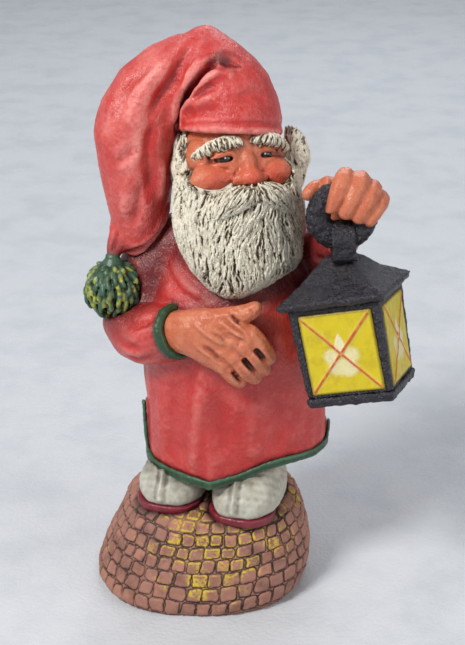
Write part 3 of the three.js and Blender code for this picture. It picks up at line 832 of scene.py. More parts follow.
def make_gown():
    """The tunic and both sleeves as one cloth. Folds are (places, width, depth), as on the hat."""
    clay = Clay("gown", ["tunic", "sleeve_right", "sleeve_left"], voxel=1.25, rounds=7, grow=0.4)
    tree = clay.tree()
    clay.push(0.7 * clay.fuzz(17, 1) + 0.3 * clay.fuzz(7, 2))
    chest = [
        ([(0.15, 0.83), (0.236, 0.783), (0.318, 0.75), (0.46, 0.705)], 4.4, 1.2),
        ([(0.10, 0.80), (0.15, 0.758), (0.21, 0.73), (0.28, 0.71), (0.36, 0.695)], 4.2, 1.3),
        ([(0.66, 0.74), (0.6, 0.70), (0.52, 0.685)], 4.0, 1.2),
        ([(0.60, 0.66), (0.66, 0.56), (0.66, 0.45)], 5.0, 1.3),
    ]
    skirt = [
        ([(0.32, 0.46), (0.30, 0.325), (0.287, 0.218), (0.276, 0.109), (0.262, 0.01)], 6.5, -2.4),
        ([(0.15, 0.42), (0.16, 0.3), (0.15, 0.16), (0.13, 0.02)], 6.0, 1.4),
        ([(0.41, 0.40), (0.42, 0.3), (0.44, 0.18), (0.46, 0.05)], 7.0, 1.3),
        ([(0.60, 0.36), (0.585, 0.25), (0.60, 0.12), (0.61, 0.02)], 7.0, -1.0),
        ([(0.74, 0.38), (0.73, 0.25), (0.75, 0.1)], 6.0, 1.1),
    ]
    clay.fold(tree, "tunic", chest + skirt)
    back = [
        ([(0.5, 0.92), (0.47, 0.7), (0.5, 0.45), (0.46, 0.2), (0.48, 0.0)], 8.0, -1.4),
        ([(0.34, 0.88), (0.3, 0.66), (0.33, 0.42), (0.3, 0.15)], 7.0, 1.7),
        ([(0.66, 0.88), (0.66, 0.62), (0.62, 0.38), (0.66, 0.1)], 7.0, 1.6),
        ([(0.16, 0.7), (0.2, 0.48), (0.16, 0.2)], 6.5, 1.3),
        ([(0.84, 0.72), (0.8, 0.46), (0.84, 0.2)], 6.5, 1.3),
    ]
    clay.fold(tree, "tunic", back, back=True)
    for side in ("right", "left"):
        sleeve_folds(clay, tree, side)
    clay.relax(np.minimum(2.4 * clay.near("pompom", reach=17), 1), 60)
    clay.relax(np.ones(clay.n), 1)
    clay.snug("hem_trim")
    clay.push(0.08 * clay.fuzz(1.8, 5))
    # Painted shade in the hollows and painted highlights on what stands out.
    clay.read_relief(10, 0.3, deep=0.75, high=0.9)
    # Lighter paint along the front skirt ridge: partly rubbed wear, partly painted highlight.
    wear_and_highlight = clay.strokes([on_front(tree, "tunic", skirt[0][0])], 4.0, 0.3)[0]
    clay.lighten(0.3 * wear_and_highlight * step(clay.fuzz(2.5, 9), -0.2, 0.5))
    # Painted shade beside the beard, lantern, hat, pompom and right hand.
    clay.tint = np.clip(
        clay.near("beard", reach=13) ** 1.3
        + 0.9 * clay.near("lantern_roof", "lantern_body", reach=17) ** 1.2
        + 1.3 * clay.near("hat", reach=24) ** 1.2
        + 1.1 * clay.near("pompom", reach=16)
        + 0.55 * clay.near("hand_right", reach=9),
        0,
        1,
    )
    # Painted shade where the hand, cuffs and hem meet the cloth, and right under the hat and pompom.
    hands = clay.near("hand_right", "cuff_right", "cuff_left", "hem_trim", reach=2.6)
    hat_and_pompom_shade = clay.near("hat", "pompom", reach=3.5)
    clay.darken(0.8 * hands + 0.6 * hat_and_pompom_shade)
    clay.done(red_paint("gown_paint"), "cloth_red")


def sleeve_folds(clay, tree, side):
    """Soft creases that fan out of the inside of the elbow, and a few round the upper arm."""
    if side == "right":
        folds = [
            ([(0.2, 0.42), (0.36, 0.36), (0.55, 0.40), (0.72, 0.46)], 3.2, 1.3),
            ([(0.12, 0.30), (0.30, 0.22), (0.52, 0.24)], 3.2, 1.1),
            ([(0.45, 0.56), (0.62, 0.60), (0.8, 0.62)], 3.0, 1.5),
            ([(0.30, 0.12), (0.48, 0.12), (0.7, 0.2)], 3.0, 0.9),
        ]
    else:
        folds = [
            ([(0.3, 0.55), (0.5, 0.44), (0.7, 0.5)], 3.2, 1.3),
            ([(0.3, 0.35), (0.5, 0.3), (0.75, 0.36)], 3.2, 1.2),
            ([(0.25, 0.75), (0.45, 0.66), (0.6, 0.7)], 3.0, 1.1),
        ]
    for places, width, depth in folds:
        for back in (False, True):
            clay.crease(on_front(tree, f"sleeve_{side}", places, back), width, depth)


def make_trim():
    green = Paint("trim_paint", "1b381c", gloss=0.5)
    green.coat("2b4c2b", green.noise(6, 0.4, 0.7), 0.6)
    # Painted highlights on what stands out, and painted shade in the hollows.
    green.coat("5f8d72", green.mask("high"), 0.45)
    green.coat("09130c", green.mask("deep"), 0.85)
    green.sheen(3, 0.3, 0.44)
    green.grain(0.8, 0.06)
    green = green.done()
    hem = Clay("hem_band", ["hem_trim"], voxel=0.55, rounds=5, levels=0, grow=0.25)
    hem.push(0.3 * hem.fuzz(5, 1) + 0.12 * hem.fuzz(1.6, 2))
    # Painted shade in the hollows, and where the band meets the tunic.
    hem.read_relief(3, 0.14, deep=0.6)
    hem.darken(0.6 * hem.near("tunic", reach=0.9))
    hem.done(green, "trim_green")
    for side in ("right", "left"):
        cuff = Clay(f"cuff_{side}", voxel=0.6, rounds=6, grow=0.5)
        cuff.push(0.3 * cuff.fuzz(5, 3) + 0.08 * cuff.fuzz(1.6, 2))
        # Painted shade in the hollows, and where the cuff meets the hand and sleeve.
        cuff.read_relief(4, 0.14, deep=0.6)
        cuff.darken(0.8 * cuff.near(f"hand_{side}", f"sleeve_{side}", reach=1.2))
        cuff.done(green, "trim_green")


# ---- Hat -----------------------------------------------------------------------------------------


# How high up the hat its rim lies at the object's middle, and how far it drops for each mm backwards.
RIM_SHARE = 0.56
RIM_SLOPE = 0.324


def make_hat():
    """Folds are (places, width, depth), where the places are shares of the hat's box seen from in front."""
    clay = Clay("hat", voxel=1.05, rounds=7, grow=0.35)
    tree = clay.tree()
    low, high = mm_box("hat")

    def shares():
        return (clay.co[:, 0] - low[0]) / (high[0] - low[0]), (clay.co[:, 2] - low[2]) / (high[2] - low[2])

    u, v = shares()
    clay.relax(step(v, 0.9, 0.97), 14)
    clay.push(0.7 * clay.fuzz(17, 1) + 0.3 * clay.fuzz(8, 2))
    crease = [(0.668, 0.915), (0.644, 0.895), (0.612, 0.866), (0.568, 0.83), (0.522, 0.785)]
    crease += [(0.49, 0.738), (0.466, 0.70), (0.457, 0.655), (0.448, 0.612), (0.44, 0.56)]
    pocket = [(0.672, 0.885), (0.71, 0.893), (0.755, 0.884), (0.79, 0.868)]
    roll = [(0.50, 0.742), (0.53, 0.772), (0.568, 0.812), (0.629, 0.845), (0.687, 0.855), (0.79, 0.84)]
    valley = [(0.545, 0.975), (0.524, 0.944), (0.48, 0.891), (0.427, 0.811), (0.374, 0.754)]
    valley += [(0.337, 0.695), (0.32, 0.619)]
    lower_valley = [(0.335, 0.66), (0.32, 0.60), (0.302, 0.526), (0.306, 0.395), (0.29, 0.28)]
    curl = [(0.41, 0.28), (0.385, 0.20), (0.345, 0.13), (0.285, 0.085), (0.22, 0.06), (0.14, 0.05)]
    folds = [
        (crease, 2.7, 4.4),
        (pocket, 4.2, 1.5),
        ([(0.60, 0.94), (0.55, 0.87), (0.50, 0.80), (0.455, 0.73), (0.43, 0.64), (0.42, 0.54)], 4.2, -2.0),
        (roll, 3.2, -1.2),
        ([(0.515, 0.725), (0.56, 0.765), (0.622, 0.80), (0.69, 0.81)], 3.4, 0.9),
        ([(0.475, 0.69), (0.50, 0.718), (0.545, 0.74), (0.60, 0.76), (0.67, 0.77)], 3.4, -0.8),
        ([(0.48, 0.655), (0.53, 0.69), (0.60, 0.71), (0.70, 0.72)], 3.4, 0.8),
        ([(0.74, 0.75), (0.84, 0.77), (0.93, 0.73)], 5.0, 0.7),
        (valley, 4.2, 1.6),
        (lower_valley, 4.0, 1.5),
        ([(0.44, 0.95), (0.36, 0.87), (0.27, 0.76), (0.22, 0.66), (0.19, 0.52)], 6.0, -1.1),
        ([(0.421, 0.924), (0.291, 0.845), (0.195, 0.77), (0.158, 0.691), (0.141, 0.609)], 4.4, 1.0),
        ([(0.251, 0.562), (0.191, 0.51), (0.113, 0.457)], 3.4, 0.8),
        ([(0.37, 0.50), (0.365, 0.38), (0.35, 0.26)], 3.4, -1.1),
        ([(0.20, 0.44), (0.17, 0.32), (0.16, 0.2)], 4.4, -0.9),
        ([(0.26, 0.40), (0.24, 0.28), (0.20, 0.17)], 3.6, 1.1),
        (curl, 2.6, 3.4),
        ([(0.12, 0.16), (0.10, 0.09), (0.08, 0.03)], 2.2, 0.8),
    ]
    clay.fold(tree, "hat", folds, 1.15)
    behind = [
        ([(0.55, 0.97), (0.42, 0.88), (0.3, 0.74), (0.24, 0.56), (0.25, 0.36)], 5.5, 1.8),
        ([(0.36, 0.85), (0.32, 0.66), (0.33, 0.46), (0.27, 0.2)], 4.6, -1.5),
        ([(0.18, 0.74), (0.13, 0.55), (0.15, 0.34)], 4.6, 1.3),
        ([(0.64, 0.98), (0.55, 0.86), (0.48, 0.72), (0.45, 0.6)], 4.0, 2.4),
        ([(0.7, 0.92), (0.8, 0.84), (0.88, 0.74)], 4.0, 1.3),
        ([(0.56, 0.8), (0.66, 0.72), (0.8, 0.66)], 4.0, 1.1),
    ]
    clay.fold(tree, "hat", behind, 1.3, back=True)
    x, y, z = clay.co.T
    rim_at = low[2] + (high[2] - low[2]) * RIM_SHARE - RIM_SLOPE * y
    over = z - rim_at
    crown = (x > low[0] + 0.47 * (high[0] - low[0])) & (over < 12)
    clay.push(np.where(crown, 0.9 * bell(over - 1.0, 1.7) - 0.55 * bell(over - 4.8, 1.5), 0))
    clay.relax(np.ones(clay.n), 1)
    clay.push(0.1 * clay.fuzz(1.7, 5))
    # Painted shade in the hollows and painted highlights on what stands out.
    clay.read_relief(9, 0.26, deep=0.7, high=0.9)

    def along(lines, width, blunt):
        return clay.strokes([on_front(tree, "hat", places) for places in lines], width, blunt)[0]

    # Painted shade in the crease, its pocket and the curl.
    clay.darken(0.9 * along([crease, pocket], 2.6, 0.4) ** 1.2 + 0.8 * along([curl], 2.4, 0.4) ** 1.3)
    # Painted shade where the hat meets the head, hair and beard.
    clay.darken(0.6 * clay.near("head", "hair", "beard", reach=2.0))
    # A painted highlight on the tail's left and near the top, held out of the valleys.
    stripe = along([valley, lower_valley], 4.5, 0.5)
    u, v = shares()
    painted_highlight = bell(u - 0.2, 0.14) * bell(v - 0.55, 0.28) + 0.5 * bell(u - 0.36, 0.07) * bell(v - 0.86, 0.08)
    clay.lighten(0.85 * painted_highlight * step(clay.fuzz(9, 8), -0.7, 0.5) - 0.9 * stripe)
    # Painted shade in the fold's pocket and beside the pompom.
    shade = along([[(0.60, 0.865), (0.68, 0.90), (0.76, 0.885), (0.80, 0.87)]], 6.5, 0.5)
    shade = 0.95 * shade * step(clay.fuzz(3.5, 4), -0.7, 0.3)
    clay.tint = np.clip(0.8 * clay.near("pompom", reach=9) + shade, 0, 1)
    clay.done(red_paint("hat_paint"), "cloth_red")


# ---- Head ----------------------------------------------------------------------------------------


# How far the face looks up, in degrees.
HEAD_BOW = 12


def head_axes():
    """The head's own frame, between the eyes: x to its left, y backwards, z up."""
    right, left = centre("eye_right"), centre("eye_left")
    x = unit(left - right)
    level = unit(np.cross((0, 0, 1), x))
    bow = math.radians(HEAD_BOW)
    y = level * math.cos(bow) + np.array((0, 0, -1)) * math.sin(bow)
    return Axes((right + left) / 2, x, y)


HEAD = head_axes()
EYE = HEAD.local(centre("eye_left"))[0]


def head_way(across, up):
    """A direction at each point, from how far it leads across and up the head."""
    way = np.zeros((len(across), 3))
    way[:, 0] = across
    way[:, 2] = up
    return way @ HEAD.m


def on_head(*places):
    """Places in the head's frame, in the object's."""
    return [HEAD.world(place) for place in places]


# How much broader, in mm, the face is beside its right (-1) and left (1) eye.
BROAD = {-1: 2.8, 1: 0.4}


def make_head():
    turn = Matrix(HEAD.m.T.tolist()).to_4x4()

    def lump(place, size):
        return blob(HEAD.world(place), size, turn)

    def strip(places, radii, flat=1.0):
        return rope(on_head(*places), radii, flat=flat)

    extra = [lump((0, -7.0, -8.6), (5.2, 4.4, 4.3)), lump((0, -4.2, -3), (3.9, 3.3, 6.0))]
    for s in (-1, 1):
        extra += [
            lump((s * 4.9, -4.4, -9.2), (3.3, 3.3, 2.8)),
            lump((s * (12.4 + BROAD[s]), -0.8 + 0.5 * BROAD[s], -8.4), (7.8 + 0.7 * BROAD[s], 5.8, 6.1)),
            lump((s * (11.6 + BROAD[s]), 0.6 + 0.4 * BROAD[s], -4.8), (7.2 + 0.5 * BROAD[s], 4.2, 3.4)),
            lump((s * (15.4 + 0.5 * BROAD[s]), 9.0, 0.0), (6.2, 8.0, 9.0)),
            lump((s * 6.4, -1.9, -4.8), (3.6, 3.2, 2.8)),
            strip(
                [(s * 4.4, -0.9, 3.6), (s * (EYE + 1.2), -0.8, 4.2), (s * (EYE + 6.5), 2.6, 2.2)],
                [1.7, 2.2, 1.7],
            ),
        ]
        upper = [(-4.8, -1.6, 0.9), (-1.8, -3.4, 2.35), (1.6, -3.2, 2.2), (5.4 + 0.6 * BROAD[s], -0.6, 0.1)]
        lower = [
            (-4.6, -1.6, -1.5), (-1.5, -3.2, -2.35), (1.8, -3.0, -2.4), (5.2 + 0.6 * BROAD[s], -0.5, -2.0)
        ]
        extra.append(strip([(s * (EYE + a), b, c) for a, b, c in upper], [0.8, 1.2, 1.2, 0.8]))
        extra.append(strip([(s * (EYE + a), b, c) for a, b, c in lower], [0.8, 1.1, 1.1, 0.8]))
    clay = Clay("head", extra=extra, voxel=0.62, rounds=6, grow=0.3)
    p = HEAD.local(clay.co)
    x, y, z = p.T
    ax = np.abs(x)
    face = step(-y, -9, -2)
    slits = []
    for a in (-1, 1):
        slit_line = [
            (-4.9, -1.9, -0.4), (-1.8, -3.0, 0.1), (1.6, -2.9, -0.1), (5.3 + 0.6 * BROAD[a], -0.6, -1.0)
        ]
        lines = [
            ([(EYE + 4.9, -0.3, 0.2), (EYE + 7.4, 1.8, 1.4), (EYE + 9, 3.8, 2.8)], 0.8, 0.5),
            ([(EYE + 4.7, -0.1, -1.4), (EYE + 7.6, 2.0, -2.0), (EYE + 9.2, 4.0, -1.8)], 0.8, 0.45),
            ([(EYE - 3.4, -3.2, -3.9), (EYE + 0.5, -4.0, -4.6), (EYE + 4.4, -2.6, -4.4)], 1.0, 0.3),
            ([(5.4, -6.0, -5.2), (7.6, -5.2, -8.4), (8.8, -4.6, -12.4)], 1.2, 1.2),
            ([(2.4, -9.8, -11.6), (3.8, -8.4, -11.8)], 1.0, 0.9),
            ([(1.8, -3.4, 4.6), (2.2, -2.6, 7.4)], 0.8, 0.6),
        ]
        for places, width, depth in lines:
            clay.crease(smooth_line(on_head(*[(a * u, v, w) for u, v, w in places])), width, depth)
        slit = smooth_line(on_head(*[(a * (EYE + u), v, w) for u, v, w in slit_line]))
        clay.crease(slit, 1.2, 1.2, lip=0.1, ends=0.2)
        slits.append(slit)
    for level, reach in ((9.8, 10), (12.4, 11)):
        wave = [(u * reach, -1.4 + 2.0 * u * u, level + 0.6 * math.sin(3 * u)) for u in np.linspace(-1, 1, 9)]
        clay.crease(np.array(on_head(*wave)), 0.9, 0.4)
    clay.push(0.14 * clay.fuzz(4.0, 1) + 0.05 * clay.fuzz(1.5, 2))
    # Painted shade in the hollows and painted highlights on what stands out.
    clay.read_relief(5, 0.24, deep=0.9, high=0.5)
    # Painted shade where the hair, beard, moustache, hat and brows meet the skin.
    hairline = clay.near("beard", "hair", "hat", "moustache", reach=1.7)
    brows = clay.near("eyebrow_right", "eyebrow_left", reach=1.2)
    clay.darken(0.7 * hairline + 0.45 * brows)
    cheeks = bell(np.hypot(ax - 12.8 - 1.4 * (x < 0), z + 8.6), 6.4)
    nose = bell(np.hypot(x, z + 8.6), 5.6)
    # Less painted shade on the cheeks.
    clay.deep *= 1 - 0.6 * cheeks
    # Painted shade in the eye sockets, between the brows and under the hat's rim.
    socket = bell((ax - EYE - 0.5) / 1.5, 4.2) * bell(z - 0.8, 3.4)
    frown = bell(ax - 2.4, 2.2) * bell(z - 4.5, 4.5)
    face_shade = 0.42 * socket + 0.3 * frown + 0.5 * clay.near("hat", reach=5)
    clay.darken(face_shade * step(clay.fuzz(2.6, 8), -0.9, 0.6) * face)
    # Painted shade in the eye slits; the tint below is the real red of the cheeks and nose.
    clay.deep = np.maximum(clay.deep, step(clay.strokes(slits, 1.75, 0.6)[0], 0.1, 0.6))
    clay.tint = np.clip(0.95 * cheeks + 0.9 * nose, 0, 1) * face
    clay.done(skin_paint("face_paint"), "skin")
    make_eyes()


def skin_paint(name):
    paint = Paint(name, "c26848", gloss=0.5)
    paint.coat("cf7c58", paint.noise(7, 0.4, 0.68), 0.6)
    paint.coat("a9512f", paint.noise(4, 0.5, 0.75), 0.5)
    paint.coat("cf4836", paint.mask("tint"), 0.75)
    # Painted highlights on what stands out, and painted shade in the hollows.
    paint.coat("e9a68a", paint.mask("high"), 0.75, paint.noise(2.0, 0.2, 0.6))
    paint.coat("6b2a18", paint.mask("deep", 0, 0.7), 0.7)
    paint.coat("2c140d", paint.mask("deep", 0.5, 1.0), 0.8)
    paint.sheen(3, 0.24, 0.36)
    paint.grain(0.8, 0.10)
    paint.grain(2.6, 0.22)
    return paint.done()


def make_eyes():
    paint = Paint("eye_paint", "b9ad9a", gloss=0.6)
    paint.coat("17100d", paint.mask("tint"))
    # A white painted glint, then painted shade where the lids overhang the eyeball.
    paint.coat("ffffff", paint.mask("high"))
    paint.coat("5a3424", paint.mask("deep"), 0.85)
    paint.rough = 0.16
    paint.grain(1.2, 0.02)
    paint = paint.done()
    for side, s in (("right", -1), ("left", 1)):
        clay = Clay(f"eye_{side}", voxel=0.4, rounds=5, grow=-0.1)
        p = HEAD.local(clay.co) - HEAD.local(centre(f"eye_{side}"))
        clay.tint = step(2.9 - np.hypot(p[:, 0] - 0.2 * s, p[:, 2] + 0.1), -0.15, 0.25) * (p[:, 1] < 0)
        # A painted glint: a small white spot on the iris.
        clay.high = step(0.42 - np.hypot(p[:, 0] + 0.6, p[:, 2] - 0.6), -0.1, 0.15) * (p[:, 1] < 0)
        # Painted shade on the eyeball's top, bottom and sides, under the lids.
        clay.deep = np.maximum(step(np.abs(p[:, 2]), 1.0, 1.7), step(np.abs(p[:, 0]), 2.6, 3.4))
        clay.done(paint, "eye_dark")


# ---- Hair ----------------------------------------------------------------------------------------


def hair_paint():
    paint = Paint("hair_paint", "d2c7a9", gloss=0.3)
    wave = paint.node("ShaderNodeTexNoise", Vector=paint.place, Scale=MM / 5.0, Detail=2.0).outputs[1]
    wave = paint.node("ShaderNodeVectorMath", {"operation": "SCALE"}, _0=wave, _3=2.2 / MM).outputs[0]
    straight = paint.place
    paint.place = paint.node("ShaderNodeVectorMath", {"operation": "ADD"}, _0=straight, _1=wave).outputs[0]
    paint.coat("a89b7d", paint.noise(3, 0.4, 0.7), 0.55)
    paint.coat("a2957a", paint.mask("tint"), 0.5)
    # Painted highlights on the tops of the locks.
    paint.coat("f0ebda", paint.mask("high"), 0.85)
    streaks = paint.noise(0.85, 0.49, 0.58, 3, (1, 1, 0.2))
    paint.coat("6f5745", streaks, paint.mask("high", 0.3, 1.0, 0.85, 0.25))
    # Painted shade between the locks.
    paint.coat("64503f", paint.mask("deep", 0.05, 0.45), 0.9)
    paint.coat("463327", paint.mask("deep", 0.45, 1.0), 0.8)
    paint.sheen(3, 0.45, 0.65)
    paint.grain(0.6, 0.12, stretch=(1, 1, 0.3))
    return paint.done()


HAIR = hair_paint()


def comb(clay, flow, spacing, length, width, height, clump=None, calm=1.0):
    """Covers a piece with raised locks that follow the flow, with painted shade between them and painted
    highlights on their tops.
    """
    if clump:
        lines = clay.locks(clay.scatter(1.9 * clump), flow, 1.5 * length)
        clay.push(0.55 * clump * calm * (np.sqrt(clay.strokes(lines, clump)[0]) - 0.6))
    lines = clay.locks(clay.scatter(spacing), flow, length)
    widths = width * (0.7 + 0.6 * rng.random(len(lines)))
    level, which = clay.strokes(lines, widths)
    lift = 0.65 + 0.7 * scramble(which, 1)
    ridge = np.sqrt(level)
    clay.push(height * calm * (ridge * lift - 0.6))
    covered = step(clay.mean(ridge, 12), 0.12, 0.5)
    # Painted shade between the locks and painted highlights on their tops; the tint is each lock's own tone.
    clay.deep = step(0.84 - ridge, 0, 0.6) * covered
    clay.high = np.clip((ridge - 0.66) * 2.6 * lift, 0, 1)
    clay.tint = scramble(which, 2)


def make_beard():
    def flow(place, phase, share):
        p = HEAD.local(place)
        across = 0.016 * p[:, 0] + 0.75 * fuzz(place * (1, 1, 0.8), 8, 3)
        return head_way(across + 0.35 * np.sin(7 * share + 6.3 * phase), -1)

    clay = Clay("beard", voxel=0.72, rounds=6, grow=0.25)
    p = HEAD.local(clay.co)
    for s in (-1, 1):
        wide = 8.6 + 0.8 * BROAD[s]
        across, up = (p[:, 0] - s * (EYE + 3.2 + BROAD[s])) / wide, (p[:, 2] + 8.4) / 6.4
        reach = np.hypot(across, up) + 1e-6
        spread = np.where((reach < 1) & (p[:, 1] < 6), 0.9 * (1 - reach) / reach, 0)
        p[:, 0] += wide * across * spread
        p[:, 2] += 6.4 * up * spread
        p[:, 1] += 2.5 * np.clip(1 - reach, 0, 1) * (p[:, 1] < 6)
        temple = step(s * p[:, 0], 11, 14) * step(p[:, 2], -9, -4) * step(18 - p[:, 1], 0, 6)
        p[:, 1] += (4.5 + 1.8 * BROAD[s]) * temple
    clay.co = HEAD.world(p)
    clay.relax(np.ones(clay.n), 4)
    comb(clay, flow, 2.0, 8.5, 0.62, 1.55, clump=2.4)
    clay.done(HAIR, "hair_ivory")


def make_moustache():
    def flow(place, phase, share):
        x = HEAD.local(place)[:, 0]
        across = np.sign(x) * np.clip(np.abs(x) / 8, 0.1, 1) * 1.1 + 0.3 * np.sin(6.3 * phase + 4 * share)
        return head_way(across, -0.75 - 0.035 * np.abs(x) - 0.3 * share)

    extra = [blob(HEAD.world((0, -10.4, -16.2)), (4.2, 3.0, 3.6))]
    for s in (-1, 1):
        path = [(s * 3, -10.6, -14.6), (s * 9, -9.6, -17.5), (s * 14.5, -6.6, -21.0), (s * 18.5, -2.6, -26.0)]
        extra.append(rope(on_head(*path), [3.4, 4.6, 4.2, 2.6]))
    clay = Clay("moustache", extra=extra, voxel=0.54, rounds=5, grow=0.4)
    comb(clay, flow, 1.75, 7.0, 0.58, 1.2, clump=1.8)
    clay.done(HAIR, "hair_ivory")


def make_hair():
    def flow(place, phase, share):
        sway = 0.7 * fuzz(place, 7, 5) + 0.35 * np.sin(6.3 * phase + 5 * share)
        return head_way(sway * (1 + 0.8 * step(HEAD.local(place)[:, 0], 20, 24)), -1)

    path = [(28.5, 13.5, -10), (30, 12.8, -3), (29.2, 12.6, 3), (27.8, 12.8, 7.5), (26.6, 13, 10.8)]
    extra = [rope(on_head(*path), [5.5, 5.0, 4.0, 2.5, 1.0])]
    clay = Clay("hair", extra=extra, voxel=0.74, rounds=6, grow=0.3)
    p = HEAD.local(clay.co)
    tuft = step(p[:, 0], 20, 24)
    clay.relax(tuft * step(p[:, 2], 2, 6), 2)
    comb(clay, flow, 1.8, 8.0, 0.62, 1.3, clump=2.4, calm=1 - 0.2 * tuft)
    # Less painted shade and more painted highlight on the tuft.
    clay.deep *= 1 - 0.25 * tuft
    clay.lighten(0.25 * tuft)
    clay.done(HAIR, "hair_ivory")


def make_brows():
    for side, s in (("right", -1), ("left", 1)):
        clay = Clay(f"eyebrow_{side}", voxel=0.42, rounds=3, grow=0.4)
        p = HEAD.local(clay.co)
        outer = np.clip(s * p[:, 0] - 6, 0, None)
        clay.co = HEAD.world(p + np.stack([0.12 * s * outer, -0.10 * outer, -0.09 * outer], axis=1))

        def flow(place, phase, share, s=s):
            return head_way(s * (0.35 + 0.3 * np.sin(6.3 * phase)), 1)

        comb(clay, flow, 1.9, 4.6, 0.62, 1.2)
        clay.done(HAIR, "hair_ivory")


# ---- Hands ---------------------------------------------------------------------------------------


def make_hands():
    paint = skin_paint("hand_paint")
    right = Clay("hand_right", voxel=0.72, rounds=4, grow=0.35)
    tree = right.tree()
    right.push(0.3 * right.fuzz(6, 1))
    pits = [
        [(0.80, 0.53), (0.831, 0.501), (0.879, 0.419), (0.932, 0.31)],
        [(0.70, 0.43), (0.727, 0.391), (0.776, 0.306), (0.86, 0.16)],
        [(0.60, 0.27), (0.632, 0.223), (0.683, 0.13), (0.72, 0.07)],
    ]
    ridges = [
        ([(0.252, 0.813), (0.417, 0.674), (0.58, 0.543)], 1.8, -0.9),
        ([(0.494, 0.843), (0.621, 0.735), (0.744, 0.637)], 1.6, -0.9),
        ([(0.555, 0.875), (0.709, 0.736), (0.787, 0.578)], 1.5, -0.8),
        ([(0.252, 0.601), (0.424, 0.443), (0.58, 0.277)], 2.0, -0.9),
        ([(0.417, 0.72), (0.529, 0.65), (0.58, 0.489)], 1.6, 0.45),
        ([(0.46, 0.80), (0.54, 0.70), (0.62, 0.60)], 1.6, 0.4),
        ([(0.338, 0.558), (0.442, 0.483), (0.528, 0.366)], 2.0, 0.8),
        ([(0.58, 0.925), (0.632, 0.856), (0.709, 0.78)], 1.4, 0.9),
        ([(0.76, 0.955), (0.785, 0.93), (0.80, 0.90)], 1.0, 0.4),
    ]
    right.fold(tree, "hand_right", ridges)
    # Painted shade in the gaps between the fingers.
    dark = np.zeros(right.n)
    for places in pits:
        line = on_front(tree, "hand_right", places)
        level = right.crease(line, 1.8, 2.2, ends=0.4)
        dark = np.maximum(dark, 0.9 * np.clip(level + 0.25 * right.fuzz(1.5, 3), 0, 1) ** 1.6)
    left = Clay("hand_left", voxel=0.68, rounds=6, grow=0.15)
    low, high = mm_box("hand_left")
    thumb = step(low[0] + 0.32 * (high[0] - low[0]) - left.co[:, 0], 0, 5)
    left.co += thumb[:, None] * (0.8, 3.6, -3.2)
    left.push(0.3 * left.fuzz(6, 1))
    left.relax(np.ones(left.n), 8)
    for _ in range(2):
        left.push(-0.5 * left.hollow(9))
    for clay in (right, left):
        clay.push(0.05 * clay.fuzz(1.6, 2))
        # Painted shade in the hollows and painted highlights on what stands out.
        clay.read_relief(6, 0.2, deep=1.0, high=0.8)
    right.darken(dark)
    for clay, side in ((right, "right"), (left, "left")):
        # Painted shade at the cuffs and under the lantern ring.
        clay.darken(0.55 * clay.near(f"cuff_{side}", reach=1.4))
    left.darken(0.6 * left.near("lantern_ring", reach=1.3))
    right.done(paint, "skin")
    left.done(paint, "skin")


# ---- Pompom --------------------------------------------------------------------------------------


STRANDS = 132
# The ball under the strands and the strands' roots, as shares of the pompom's radius.
CORE = 0.72
ROOT = 0.74
# The share of the ball's half height that the tie takes up.
TIED = 0.16


